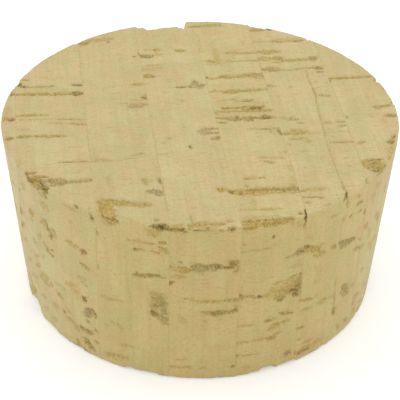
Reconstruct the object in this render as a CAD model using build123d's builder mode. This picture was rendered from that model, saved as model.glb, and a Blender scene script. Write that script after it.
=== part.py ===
from build123d import *
from math import asin, cos, degrees, radians, sin, sqrt
from random import Random
import os

# A wide tapered stopper of natural cork, wide end up, glued up from slabs of bark.
# The origin is at the middle of the small end. X runs through the thickness of the bark,
# from the belly side of each slab to its back. Y and Z run along the growth rings.

# Size of the stopper. The small end is narrower than the large end by the taper.
TOP_DIAMETER = 79.4
TAPER = 6.4
HEIGHT = 38.1
CORNER_BREAK = 0.25

# Slabs of bark: what is left of the first one at the left rim, then the whole slabs. The last
# slab is what remains up to the right rim.
FIRST_SLAB_LEFT = 2.9
SLAB_THICKNESSES = (13.9, 12.8, 12.9, 12.2, 13.4)

TOP_RADIUS = TOP_DIAMETER / 2
BOTTOM_RADIUS = TOP_RADIUS - TAPER / 2
SLAB_EDGES = [-TOP_RADIUS, FIRST_SLAB_LEFT - TOP_RADIUS]
for thickness in SLAB_THICKNESSES:
    SLAB_EDGES.append(SLAB_EDGES[-1] + thickness)
SLAB_EDGES.append(TOP_RADIUS)

# Pores of the bark that open in the top face. They run across the slab, so their places are
# measured from the slab's own left glue line: slab, (across, y), (across, y), width, depth
TOP_PORES = [
    (1, (0.6, 1.8), (2.9, 1.4), 1.5, 0.6),
    (1, (1.2, -5.6), (2.9, -5.4), 1.2, 0.5),
    (2, (0.0, 11.4), (11.6, 10.6), 1.1, 0.4),
    (2, (11.2, 10.5), (14.0, 10.4), 1.7, 0.6),
    (2, (1.2, 14.1), (7.9, 13.9), 0.8, 0.3),
    (2, (11.6, 14.0), (14.0, 13.9), 1.0, 0.4),
    (2, (0.0, 3.0), (6.5, 2.6), 1.0, 0.35),
    (2, (2.0, 1.1), (13.9, 0.1), 0.4, 0.15),
    (2, (6.0, -0.7), (14.0, -1.8), 0.7, 0.25),
    (2, (0.2, -5.1), (9.6, -5.6), 1.1, 0.4),
    (2, (5.0, -21.2), (13.9, -21.6), 2.0, 0.5),
    (2, (7.0, -14.9), (13.9, -15.2), 0.4, 0.15),
    (3, (0.0, -15.2), (4.5, -15.3), 0.4, 0.15),
    (3, (0.3, 32.1), (6.2, 32.4), 1.7, 0.5),
    (3, (10.2, 12.8), (12.6, 12.7), 1.2, 0.4),
    (3, (11.4, 7.7), (12.9, 7.4), 1.1, 0.4),
    (3, (7.0, 5.5), (12.9, 4.7), 0.7, 0.25),
    (3, (8.8, 4.1), (12.0, 3.9), 1.6, 0.4),
    (3, (1.2, -29.0), (10.4, -30.6), 2.1, 0.6),
    (4, (0.1, 24.9), (2.8, 24.4), 1.9, 0.6),
    (4, (2.9, 27.2), (4.9, 27.3), 1.2, 0.4),
    (4, (0.1, 16.3), (2.6, 15.7), 1.7, 0.5),
    (4, (8.0, 26.6), (9.9, 26.4), 1.6, 0.4),
    (4, (6.2, 10.9), (8.6, 10.8), 0.8, 0.3),
    (4, (9.0, 11.3), (12.5, 10.5), 2.4, 0.5),
    (4, (9.4, -5.9), (13.0, -6.0), 0.7, 0.3),
    (4, (9.2, -7.5), (13.0, -7.6), 0.8, 0.3),
    (4, (11.3, -9.8), (13.0, -9.2), 1.2, 0.4),
    (4, (10.3, -27.1), (11.8, -27.1), 1.8, 0.5),
    (5, (0.0, 8.6), (12.2, 8.2), 1.2, 0.45),
    (5, (1.0, 4.6), (8.6, 4.0), 1.0, 0.4),
    (5, (0.6, 1.7), (10.8, 1.3), 1.4, 0.6),
    (5, (0.1, -0.3), (11.8, 0.2), 1.0, 0.35),
    (5, (0.0, 14.4), (12.3, 14.4), 1.7, 0.6),
    (5, (0.5, 20.6), (12.3, 20.4), 0.8, 0.3),
    (5, (2.0, 24.3), (12.3, 23.9), 1.0, 0.3),
    (5, (0.0, 37.0), (7.4, 37.2), 0.9, 0.3),
    (5, (5.6, -6.7), (12.3, -7.1), 0.8, 0.3),
    (5, (6.0, -17.2), (10.8, -17.6), 0.7, 0.25),
    (5, (2.4, -24.1), (6.4, -24.1), 0.8, 0.3),
    (5, (0.4, -33.9), (9.0, -34.3), 0.7, 0.25),
    (6, (0.0, 34.1), (3.9, 33.8), 1.3, 0.4),
    (6, (0.0, 28.6), (11.4, 28.4), 1.3, 0.45),
    (6, (0.0, 24.1), (5.2, 23.7), 1.8, 0.4),
    (6, (0.0, 20.4), (12.7, 19.9), 1.2, 0.4),
    (6, (0.3, 16.5), (4.2, 16.2), 1.7, 0.5),
    (6, (3.9, 16.0), (13.0, 15.9), 0.9, 0.35),
    (6, (11.2, 15.7), (13.2, 15.5), 1.5, 0.5),
    (6, (11.0, 20.3), (13.0, 20.3), 1.4, 0.4),
    (6, (0.3, -9.2), (5.1, -9.3), 1.9, 0.4),
    (6, (9.2, -13.3), (13.2, -13.4), 0.8, 0.3),
    (6, (0.2, -28.9), (5.0, -28.8), 1.1, 0.35),
    (6, (0.1, -31.2), (4.1, -31.4), 0.9, 0.3),
    (7, (0.0, 11.4), (9.0, 11.2), 0.9, 0.35),
    (7, (7.0, -0.9), (11.2, -0.6), 1.2, 0.5),
    (7, (8.2, -4.3), (11.2, -4.6), 1.2, 0.5),
    (7, (0.4, -20.9), (4.8, -21.0), 1.3, 0.5),
]

# Pores that open in the side wall. The azimuth is in degrees, 0 at the front and growing to the
# right, and the height is measured down from the top rim:
# slab, (azimuth, drop), (azimuth, drop), width, depth
SIDE_PORES = [
    (2, (-55.5, 8.4), (-52.0, 11.6), 2.2, 0.5),
    (2, (-57.0, 16.0), (-53.4, 16.5), 1.4, 0.4),
    (2, (-42.4, 10.6), (-39.6, 10.9), 1.4, 0.4),
    (2, (-42.0, 14.1), (-39.2, 14.8), 1.0, 0.3),
    (2, (-43.6, 23.4), (-41.6, 23.2), 1.8, 0.5),
    (2, (-44.0, 26.8), (-38.6, 25.6), 2.4, 0.5),
    (2, (-54.4, 26.0), (-52.2, 27.2), 1.2, 0.4),
    (2, (-50.0, 21.4), (-44.4, 22.0), 1.5, 0.3),
    (2, (-46.4, 31.8), (-40.4, 32.1), 1.9, 0.4),
    (2, (-44.2, 34.4), (-41.2, 36.4), 2.3, 0.5),
    (2, (-51.4, 31.0), (-48.2, 32.2), 1.7, 0.4),
    (3, (-25.2, 12.6), (-16.4, 11.8), 1.1, 0.4),
    (3, (-25.6, 4.1), (-18.4, 4.1), 0.7, 0.25),
    (3, (-17.6, 3.6), (-14.9, 3.5), 0.8, 0.3),
    (3, (-24.8, 6.1), (-21.4, 5.8), 0.8, 0.3),
    (3, (-20.2, 6.0), (-15.2, 5.4), 1.3, 0.3),
    (3, (-36.0, 20.4), (-30.6, 20.2), 0.8, 0.25),
    (4, (-13.6, 9.2), (-8.0, 9.1), 1.6, 0.3),
    (4, (-8.8, 9.4), (0.1, 8.9), 1.9, 0.45),
    (4, (-0.6, 9.3), (4.2, 8.6), 1.9, 0.5),
    (4, (-13.6, 17.5), (4.4, 17.5), 0.9, 0.15),
    (4, (-6.6, 20.4), (0.8, 20.4), 1.5, 0.35),
    (4, (-1.4, 20.5), (4.1, 20.0), 1.5, 0.45),
    (4, (-14.4, 35.3), (-8.8, 35.0), 0.8, 0.25),
    (5, (4.0, 5.7), (12.2, 5.7), 0.6, 0.15),
    (5, (4.0, 17.2), (9.8, 17.3), 1.0, 0.3),
    (5, (9.4, 17.5), (11.0, 17.7), 1.0, 0.5),
    (5, (11.6, 18.2), (18.0, 17.6), 2.4, 0.4),
    (5, (16.0, 17.9), (23.4, 16.6), 4.2, 0.6),
    (5, (16.6, 9.1), (23.2, 8.8), 1.7, 0.4),
    (5, (4.0, 24.6), (9.2, 24.6), 0.5, 0.2),
    (5, (11.6, 24.6), (16.2, 24.2), 0.9, 0.3),
    (5, (13.8, 26.6), (20.6, 25.7), 1.4, 0.35),
    (5, (4.4, 29.1), (17.2, 29.4), 0.9, 0.15),
    (5, (4.2, 32.4), (11.6, 32.8), 0.7, 0.2),
    (5, (17.2, 23.4), (22.4, 24.2), 1.1, 0.4),
    (6, (22.6, 7.9), (28.2, 9.0), 1.5, 0.4),
    (6, (26.4, 11.0), (30.4, 11.1), 1.5, 0.3),
    (6, (34.8, 10.9), (43.4, 12.8), 2.1, 0.4),
    (6, (22.8, 21.4), (28.2, 22.3), 0.8, 0.25),
    (6, (30.4, 24.4), (34.0, 24.6), 1.4, 0.3),
    (6, (22.6, 29.1), (26.0, 29.3), 1.0, 0.3),
    (6, (40.8, 23.9), (46.2, 27.2), 2.9, 0.4),
    (6, (25.0, 36.3), (30.2, 36.5), 1.2, 0.4),
    (6, (44.2, 15.6), (49.0, 17.2), 1.6, 0.35),
    (7, (47.6, 31.2), (50.8, 32.8), 1.5, 0.35),
]

# Soft woody bark that has crumbled out in small pits. Each patch is a strip of the top face or of
# the wall, given in the same way as the pores: slab, start, end, width, number of pits
TOP_CRUMBLED = [
    (3, (1.4, -28.8), (2.6, -34.6), 2.2, 7),
    (5, (0.4, -2.8), (12.0, -3.0), 2.2, 12),
    (5, (-0.4, -28.3), (12.1, -28.6), 1.9, 14),
    (7, (0.7, -21.6), (4.2, -22.8), 2.4, 8),
]
SIDE_CRUMBLED = [
    (2, (-55.0, 1.6), (-52.0, 1.8), 2.6, 6),
    (3, (-20.0, 16.6), (-16.6, 23.2), 2.6, 14),
    (5, (18.4, 18.4), (22.8, 18.8), 2.2, 6),
]
PIT_HALF_LENGTHS = (0.5, 0.9)
PIT_DEPTH = 0.35
CRUMBLE_SEED = 11

# Grooves along the front rim, where pores have opened into the corner between top and wall:
# slab, azimuth from, azimuth to, radius of the groove
RIM_GROOVES = [
    (2, -60.5, -52.5, 1.5),
    (3, -33.4, -29.0, 1.0),
    (3, -20.0, -14.0, 1.3),
    (4, -15.6, -9.4, 0.9),
    (4, -9.8, 1.2, 0.7),
    (4, 0.4, 2.6, 0.9),
    (5, 4.0, 18.8, 1.1),
    (7, 51.0, 55.0, 1.2),
]

# Chips out of the top rim at the back and the sides, then out of the bottom rim:
# slab, azimuth from, azimuth to, radius of the chip
TOP_CHIPS = [
    (4, 178.2, 192.6, 4.0),
    (3, 213.6, 217.6, 1.2),
    (2, 213.6, 217.6, 1.2),
    (5, 151.0, 158.0, 0.8),
    (6, 148.0, 158.0, 1.1),
    (6, 135.6, 137.6, 1.2),
    (7, 102.2, 105.0, 1.0),
    (7, 89.0, 92.6, 1.0),
    (7, 68.0, 74.0, 0.8),
    (2, 244.4, 250.6, 0.9),
    (1, 251.6, 255.2, 0.8),
]
BOTTOM_CHIPS = [
    (2, -70.0, -58.0, 1.3),
    (3, -31.0, -18.6, 0.9),
    (5, 8.0, 23.0, 1.2),
    (6, 22.4, 30.0, 0.7),
    (2, -49.6, -46.0, 0.7),
    (7, 68.0, 82.0, 0.9),
    (4, 176.0, 186.0, 1.0),
    (6, 140.0, 150.0, 0.8),
    (3, 200.0, 206.0, 0.7),
]

# Shape of every hollow: where the boat is widest, how far its cutter stands above the surface,
# and how deep a hollow on a rim goes for its radius
SHOULDER_SHARE = 0.45
CUTTER_LIFT = 0.6
RIM_HOLLOW_DEPTH_SHARE = 0.7

# The crack that follows the growth rings of one slab, and the gaping front end of the glue line
# on the right of another
CRACKED_SLAB = 6
CRACK_WIDTH = 0.5
CRACK_DEPTH = 0.2
TOP_CRACK = [(9.3, 8.2), (9.1, 1.4), (8.5, -7.6), (8.1, -16.0), (8.0, -24.0), (8.7, -30.2), (7.9, -33.4)]
SIDE_CRACK = [(37.4, 21.0), (38.4, 26.0), (39.4, 30.9)]
GAPING_SLAB = 5
GAP_LENGTH = 3.0
GAP_WIDTH = 1.4
GAP_DEPTH = 0.6

# Pores of the hidden sides, spread evenly by chance: how many each slab has, and their sizes
HIDDEN_WALL_PORES = 4
HIDDEN_BOTTOM_PORES = 4
HIDDEN_SHARE_OF_SLAB = (0.3, 0.9)
HIDDEN_WIDTHS = (0.8, 1.7)
HIDDEN_DEPTH_SHARE = 0.3
HIDDEN_SEED = 4
CLEAR_OF_RIM = 3.0

UP = Vector(0, 0, 1)


def wall_radius(drop):
    """Radius of the tapered wall at a distance below the top rim."""
    return TOP_RADIUS - (TOP_RADIUS - BOTTOM_RADIUS) * drop / HEIGHT


def on_wall(azimuth, drop):
    """Point of the wall, with azimuth 0 at the front (-Y) and 90 at the right (+X)."""
    radius = wall_radius(drop)
    return Vector(radius * sin(radians(azimuth)), -radius * cos(radians(azimuth)), HEIGHT - drop)


def on_top(slab, across, y):
    """Point of the top face, measured across a slab from its left edge."""
    return Vector(SLAB_EDGES[slab - 1] + across, y, HEIGHT)


def hollow(start, end, width, depth, outward, middle=None):
    """Boat-shaped hollow between two points of a surface, open towards outward.

    Middle is the point of a curved surface halfway along, where it stands above the straight
    line from start to end.
    """
    along = (end - start).normalized()
    outward = (outward - along * outward.dot(along)).normalized()
    sideways = outward.cross(along)
    chord_middle = (start + end) / 2
    rise = (middle - chord_middle).dot(outward) if middle else 0
    half = (end - start).length / 2
    shoulder = SHOULDER_SHARE * half
    rise_at_shoulder = rise * (1 - SHOULDER_SHARE**2)
    widening = (depth + CUTTER_LIFT) / depth
    tip = shoulder + (half - shoulder) * widening

    # Lengthwise from the middle, across, and up from the line between the ends
    def point(lengthwise, across, up):
        return chord_middle + along * lengthwise + sideways * across + outward * up

    keel = [point(x, 0, rise_at_shoulder - depth) for x in (-shoulder, shoulder)]
    edge = rise_at_shoulder + CUTTER_LIFT
    near = [point(x, -width / 2 * widening, edge) for x in (-shoulder, shoulder)]
    far = [point(x, width / 2 * widening, edge) for x in (-shoulder, shoulder)]
    tips = [point(x, 0, CUTTER_LIFT) for x in (-tip, tip)]
    sides = [(keel[0], keel[1], near[1], near[0]), (keel[0], keel[1], far[1], far[0])]
    sides += [(near[0], near[1], far[1], far[0])]
    for k in (0, 1):
        sides += [(keel[k], near[k], tips[k]), (keel[k], far[k], tips[k]), (near[k], far[k], tips[k])]
    return Solid(Shell([Face(Wire.make_polygon(side)) for side in sides]))


def radial(point):
    """Level direction from the axis of the stopper to a point."""
    return Vector(point.X, point.Y, 0).normalized()


def wall_hollow(start, end, width, depth, upward=0):
    """Hollow in the wall between two (azimuth, drop) places, open outwards and also up or down."""
    middle = on_wall((start[0] + end[0]) / 2, (start[1] + end[1]) / 2)
    outward = radial(middle) + Vector(0, 0, upward)
    return hollow(on_wall(*start), on_wall(*end), width, depth, outward, middle)


def rim_hollow(azimuth_from, azimuth_to, radius, drop, upward):
    """Hollow along the corner of a rim."""
    depth = RIM_HOLLOW_DEPTH_SHARE * radius
    return wall_hollow((azimuth_from, drop), (azimuth_to, drop), 2 * radius, depth, upward)


def crumbled(start, end, width, pits, outward, chance):
    """Small pits scattered over a strip of a surface."""
    along = (end - start).normalized()
    sideways = outward.cross(along).normalized()
    hollows = []
    for pit in range(pits):
        half_length = chance.uniform(*PIT_HALF_LENGTHS)
        place = start + (end - start) * ((pit + chance.random()) / pits)
        place += sideways * chance.uniform(-0.5, 0.5) * (width - PIT_HALF_LENGTHS[1])
        half_pit = along * half_length
        hollows.append(hollow(place - half_pit, place + half_pit, half_length * 2, PIT_DEPTH, outward))
    return hollows


def shown_hollows(slab):
    """Everything that the photographed faces and the rims of one slab have lost."""
    chance = Random(CRUMBLE_SEED + slab)
    hollows = []
    for owner, start, end, width, depth in TOP_PORES:
        if owner == slab:
            hollows.append(hollow(on_top(slab, *start), on_top(slab, *end), width, depth, UP))
    for owner, start, end, width, depth in SIDE_PORES:
        if owner == slab:
            hollows.append(wall_hollow(start, end, width, depth))
    for owner, start, end, width, pits in TOP_CRUMBLED:
        if owner == slab:
            hollows += crumbled(on_top(slab, *start), on_top(slab, *end), width, pits, UP, chance)
    for owner, start, end, width, pits in SIDE_CRUMBLED:
        if owner == slab:
            ends = (on_wall(*start), on_wall(*end))
            hollows += crumbled(*ends, width, pits, radial(ends[0] + ends[1]), chance)
    for owner, azimuth_from, azimuth_to, radius in RIM_GROOVES + TOP_CHIPS:
        if owner == slab:
            hollows.append(rim_hollow(azimuth_from, azimuth_to, radius, 0, 1))
    for owner, azimuth_from, azimuth_to, radius in BOTTOM_CHIPS:
        if owner == slab:
            hollows.append(rim_hollow(azimuth_from, azimuth_to, radius, HEIGHT, -1))
    if slab == CRACKED_SLAB:
        for start, end in zip(TOP_CRACK, TOP_CRACK[1:]):
            ends = (on_top(slab, *start), on_top(slab, *end))
            hollows.append(hollow(*ends, CRACK_WIDTH, CRACK_DEPTH, UP))
        for start, end in zip(SIDE_CRACK, SIDE_CRACK[1:]):
            hollows.append(wall_hollow(start, end, CRACK_WIDTH, CRACK_DEPTH))
    if slab == GAPING_SLAB:
        x = SLAB_EDGES[slab]
        rim = sqrt(TOP_RADIUS**2 - x**2)
        ends = (Vector(x, GAP_LENGTH - rim, HEIGHT), Vector(x, -GAP_LENGTH - rim, HEIGHT))
        hollows.append(hollow(*ends, GAP_WIDTH, GAP_DEPTH, UP))
    return hollows


def hidden_hollows(left, right, chance):
    """Pores of the back wall and of the bottom, which run across the slab as the others do."""
    across = right - left
    reach = min(max(abs(left), abs(right)), BOTTOM_RADIUS - CLEAR_OF_RIM)
    half_chord = sqrt(BOTTOM_RADIUS**2 - reach**2) - CLEAR_OF_RIM
    hollows = []
    for pore in range(HIDDEN_WALL_PORES + HIDDEN_BOTTOM_PORES):
        length = across * chance.uniform(*HIDDEN_SHARE_OF_SLAB)
        centre = left + length / 2 + (across - length) * chance.random()
        ends = (centre - length / 2, centre + length / 2)
        width = chance.uniform(*HIDDEN_WIDTHS)
        depth = HIDDEN_DEPTH_SHARE * width
        share = chance.random()
        if pore < HIDDEN_WALL_PORES:
            drop = CLEAR_OF_RIM + (pore + share) / HIDDEN_WALL_PORES * (HEIGHT - 2 * CLEAR_OF_RIM)
            radius = wall_radius(drop)
            behind = [180 - degrees(asin(max(-1, min(1, x / radius)))) for x in ends]
            hollows.append(wall_hollow((behind[0], drop), (behind[1], drop), width, depth))
        else:
            y = (2 * (pore - HIDDEN_WALL_PORES + share) / HIDDEN_BOTTOM_PORES - 1) * half_chord
            hollows.append(hollow(Vector(ends[0], y, 0), Vector(ends[1], y, 0), width, depth, -UP))
    return hollows


os.makedirs("parts", exist_ok=True)
hidden_chance = Random(HIDDEN_SEED)

for slab, (left, right) in enumerate(zip(SLAB_EDGES, SLAB_EDGES[1:]), start=1):
    hollows = shown_hollows(slab)
    if left > SLAB_EDGES[0] and right < SLAB_EDGES[-1]:
        hollows += hidden_hollows(left, right, hidden_chance)

    with BuildPart() as cork_slab:
        # The whole tapered plug, turned, with its corners just broken
        with BuildSketch(Plane.XZ) as profile:
            with BuildLine():
                plug_outline = [(0, 0), (BOTTOM_RADIUS, 0), (TOP_RADIUS, HEIGHT), (0, HEIGHT)]
                Polyline(*plug_outline, close=True)
            make_face()
            rim_corners = profile.vertices().filter_by(lambda corner: corner.X > BOTTOM_RADIUS / 2)
            chamfer(rim_corners, CORNER_BREAK)
        revolve(axis=Axis.Z)

        # The slab between its two glue lines, flat and square where it meets its neighbours
        if left > SLAB_EDGES[0]:
            split(bisect_by=Plane.YZ.offset(left), keep=Keep.TOP)
        if right < SLAB_EDGES[-1]:
            split(bisect_by=Plane.YZ.offset(right), keep=Keep.BOTTOM)

        add(hollows, mode=Mode.SUBTRACT)

    cork_slab.part.label = f"cork_slab_{slab}"
    export_step(cork_slab.part, f"parts/{cork_slab.part.label}.step")
    print(cork_slab.part.label, round(cork_slab.part.volume), "mm3", len(cork_slab.solids()), "solid")
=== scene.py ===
# %% [markdown]
# # A wide cork stopper
#
# The object is a tapered stopper, about 79 mm across its upper end, turned from a block of
# natural cork. A block this wide doesn't grow on a tree. It is glued up from slabs of bark about
# 13 mm thick, and the glue lines run straight across the stopper from front to back.
#
# Cork looks like cork through two things, and both follow the bark. Its lenticels are breathing
# pores that go straight through the slab, here along X, so they show as dark streaks on the top,
# the front and the back, and as round spots on the left and the right. Its growth layers lie
# across them, along Y and Z, and show as faint fine lines. The lesson models the streaks as real
# hollows and leaves the finest grain to the material.

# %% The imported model
import itertools
import math

import bmesh
import bpy
import numpy as np
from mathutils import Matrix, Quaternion, Vector


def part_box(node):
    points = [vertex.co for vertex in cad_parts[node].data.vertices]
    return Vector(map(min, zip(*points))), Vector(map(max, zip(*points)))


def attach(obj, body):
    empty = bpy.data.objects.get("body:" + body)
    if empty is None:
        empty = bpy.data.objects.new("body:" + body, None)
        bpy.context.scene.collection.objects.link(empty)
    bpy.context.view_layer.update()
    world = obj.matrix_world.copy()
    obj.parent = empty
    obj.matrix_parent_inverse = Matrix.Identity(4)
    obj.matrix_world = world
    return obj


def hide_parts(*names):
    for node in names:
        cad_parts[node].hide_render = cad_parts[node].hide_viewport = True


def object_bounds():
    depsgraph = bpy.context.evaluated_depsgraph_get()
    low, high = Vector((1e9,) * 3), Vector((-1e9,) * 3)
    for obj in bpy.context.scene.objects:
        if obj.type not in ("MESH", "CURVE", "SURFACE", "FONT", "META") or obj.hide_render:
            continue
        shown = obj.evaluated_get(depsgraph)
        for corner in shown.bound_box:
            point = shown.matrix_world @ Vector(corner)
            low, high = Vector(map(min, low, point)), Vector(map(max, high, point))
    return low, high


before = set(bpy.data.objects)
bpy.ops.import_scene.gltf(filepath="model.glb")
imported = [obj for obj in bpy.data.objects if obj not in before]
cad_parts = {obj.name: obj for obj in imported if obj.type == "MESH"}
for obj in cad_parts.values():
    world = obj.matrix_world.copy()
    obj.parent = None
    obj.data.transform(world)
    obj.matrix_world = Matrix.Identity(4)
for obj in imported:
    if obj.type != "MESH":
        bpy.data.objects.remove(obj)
cad_low, cad_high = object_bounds()
print("the solids reach from", tuple(cad_low), "to", tuple(cad_high))

# %% [markdown]
# ## Sizes
#
# Marks on a thing this small are easiest to place in millimetres, so the whole surface is worked
# out in millimetres and scaled once at the end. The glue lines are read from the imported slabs, so
# that every dressed slab ends exactly where its solid does.

# %% Sizes of the plug and its slabs, in millimetres
MM = 0.001
TOP_RADIUS = 39.7
BOTTOM_RADIUS = 36.5
MIDDLE_RADIUS = 0.5 * (TOP_RADIUS + BOTTOM_RADIUS)
MM_PER_DEGREE = math.radians(1) * MIDDLE_RADIUS
HEIGHT = (cad_high.z - cad_low.z) / MM
SLABS = sorted(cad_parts)
SLAB_LEFT = {name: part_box(name)[0].x / MM for name in SLABS}
SLAB_RIGHT = {name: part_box(name)[1].x / MM for name in SLABS}


def radius_at(share):
    """Radius of the wall, a share of the way down from the large end to the small end."""
    return TOP_RADIUS + (BOTTOM_RADIUS - TOP_RADIUS) * share


for name in SLABS:
    print(name, "from x", round(SLAB_LEFT[name], 2), "to", round(SLAB_RIGHT[name], 2), "mm")

# %% [markdown]
# ## The skin of the plug
#
# A disc of square cells has no pole in its middle, where a fan of triangles would pinch the
# texture. So the top starts as a square grid whose points are pushed out to a circle, the wall is
# drawn down from its rim in rows that narrow with the taper, and a second disc closes the small
# end.

# %% One closed skin of small quads
CELLS_ACROSS = 290
WALL_ROWS = 138
WELD = 0.001


def round_disc(bm, radius, z):
    """A disc of quads at height z, made by rounding a square grid."""
    made = bmesh.ops.create_grid(bm, x_segments=CELLS_ACROSS, y_segments=CELLS_ACROSS, size=1)
    for vert in made["verts"]:
        x, y = vert.co.x, vert.co.y
        round_x, round_y = x * math.sqrt(1 - y * y / 2), y * math.sqrt(1 - x * x / 2)
        vert.co = Vector((round_x, round_y, 0)) * radius
        vert.co.z = z


def plug_skin():
    """Top disc, tapered wall and bottom disc, welded into one closed mesh."""
    bm = bmesh.new()
    round_disc(bm, TOP_RADIUS, HEIGHT)
    rim = [edge for edge in bm.edges if edge.is_boundary]
    for row in range(1, WALL_ROWS + 1):
        drawn = bmesh.ops.extrude_edge_only(bm, edges=rim)["geom"]
        verts = {part for part in drawn if isinstance(part, bmesh.types.BMVert)}
        rim = [e for e in drawn if isinstance(e, bmesh.types.BMEdge) and set(e.verts) <= verts]
        share = row / WALL_ROWS
        for vert in verts:
            scale = radius_at(share) / math.hypot(vert.co.x, vert.co.y)
            vert.co = (vert.co.x * scale, vert.co.y * scale, HEIGHT * (1 - share))
    round_disc(bm, BOTTOM_RADIUS, 0)
    bmesh.ops.remove_doubles(bm, verts=bm.verts, dist=WELD)
    bmesh.ops.recalc_face_normals(bm, faces=bm.faces)
    return bm


skin = plug_skin()
print("skin:", len(skin.verts), "points,", len(skin.faces), "faces")

# %% [markdown]
# ## The colours of cork
#
# The bark is straw coloured. Its pores are lined with soft woody powder, which is anything from
# orange to nearly black, and where a pore only grazes the surface it leaves an olive or mauve
# stain. Giving each stain a plain name keeps the long lists of marks readable.

# %% Stain colours, as seen on the screen


def seen(red, green, blue):
    """A colour as it looks on a screen, 0 to 255, as the linear values that a shader uses."""
    def linear(value):
        value /= 255
        return value / 12.92 if value <= 0.04045 else ((value + 0.055) / 1.055) ** 2.4
    return (linear(red), linear(green), linear(blue), 1)


STAINS = {
    "black": seen(124, 100, 50),
    "umber": seen(146, 122, 57),
    "brown": seen(176, 150, 75),
    "olive": seen(191, 171, 102),
    "ochre": seen(195, 169, 96),
    "orange": seen(200, 170, 102),
    "tan": seen(204, 183, 121),
    "mauve": seen(182, 162, 122),
    "grey": seen(180, 164, 114),
    "pale": seen(214, 198, 150),
}
print(len(STAINS), "stain colours")

# %% [markdown]
# ## The marks
#
# Every pore, stain and crack that shows is one row: where it starts and ends, how wide and how
# deep it is, its colour, and how strongly it covers the cork. On the top a place is (x, y). On the
# wall it is (angle, z), where the angle is 0 at the front and grows to the right. Listing them
# slab by slab matters, because a pore stops dead at a glue line: the next slab is another piece of
# bark.

# %% Tables for the marks
# Each row: start, end, width and depth in millimetres, stain, and strength of the stain.
TOP_MARKS = {}
WALL_MARKS = {}
print("tables for", len(SLABS), "slabs")

# %% [markdown]
# ## Marks of the top face
#
# These are pores cut lengthwise, so most of them are streaks along X. The darkest lie where a
# slab ends on its bark side, in crumbled woody patches.

# %% Top of slab 1
TOP_MARKS["cork_slab_1"] = [
    (-39.6, 1.9, -38.3, 1.9, 1.9, 0.3, "orange", 0.9),
    (-38.2, 1.6, -37.0, 1.5, 1.4, 0.5, "umber", 0.75),
    (-37.8, 11.5, -37.0, 11.3, 1.5, 0.4, "orange", 0.9),
    (-37.6, 10.6, -37.6, 12.2, 0.6, 0.3, "umber", 0.5),
    (-38.7, -5.7, -37.6, -5.6, 1.3, 0.4, "brown", 0.9),
    (-38.8, 3.4, -38.2, 6.0, 1.2, 0.1, "tan", 0.6),
]
print(len(TOP_MARKS["cork_slab_1"]), "marks on the top of", "cork_slab_1")

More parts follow.
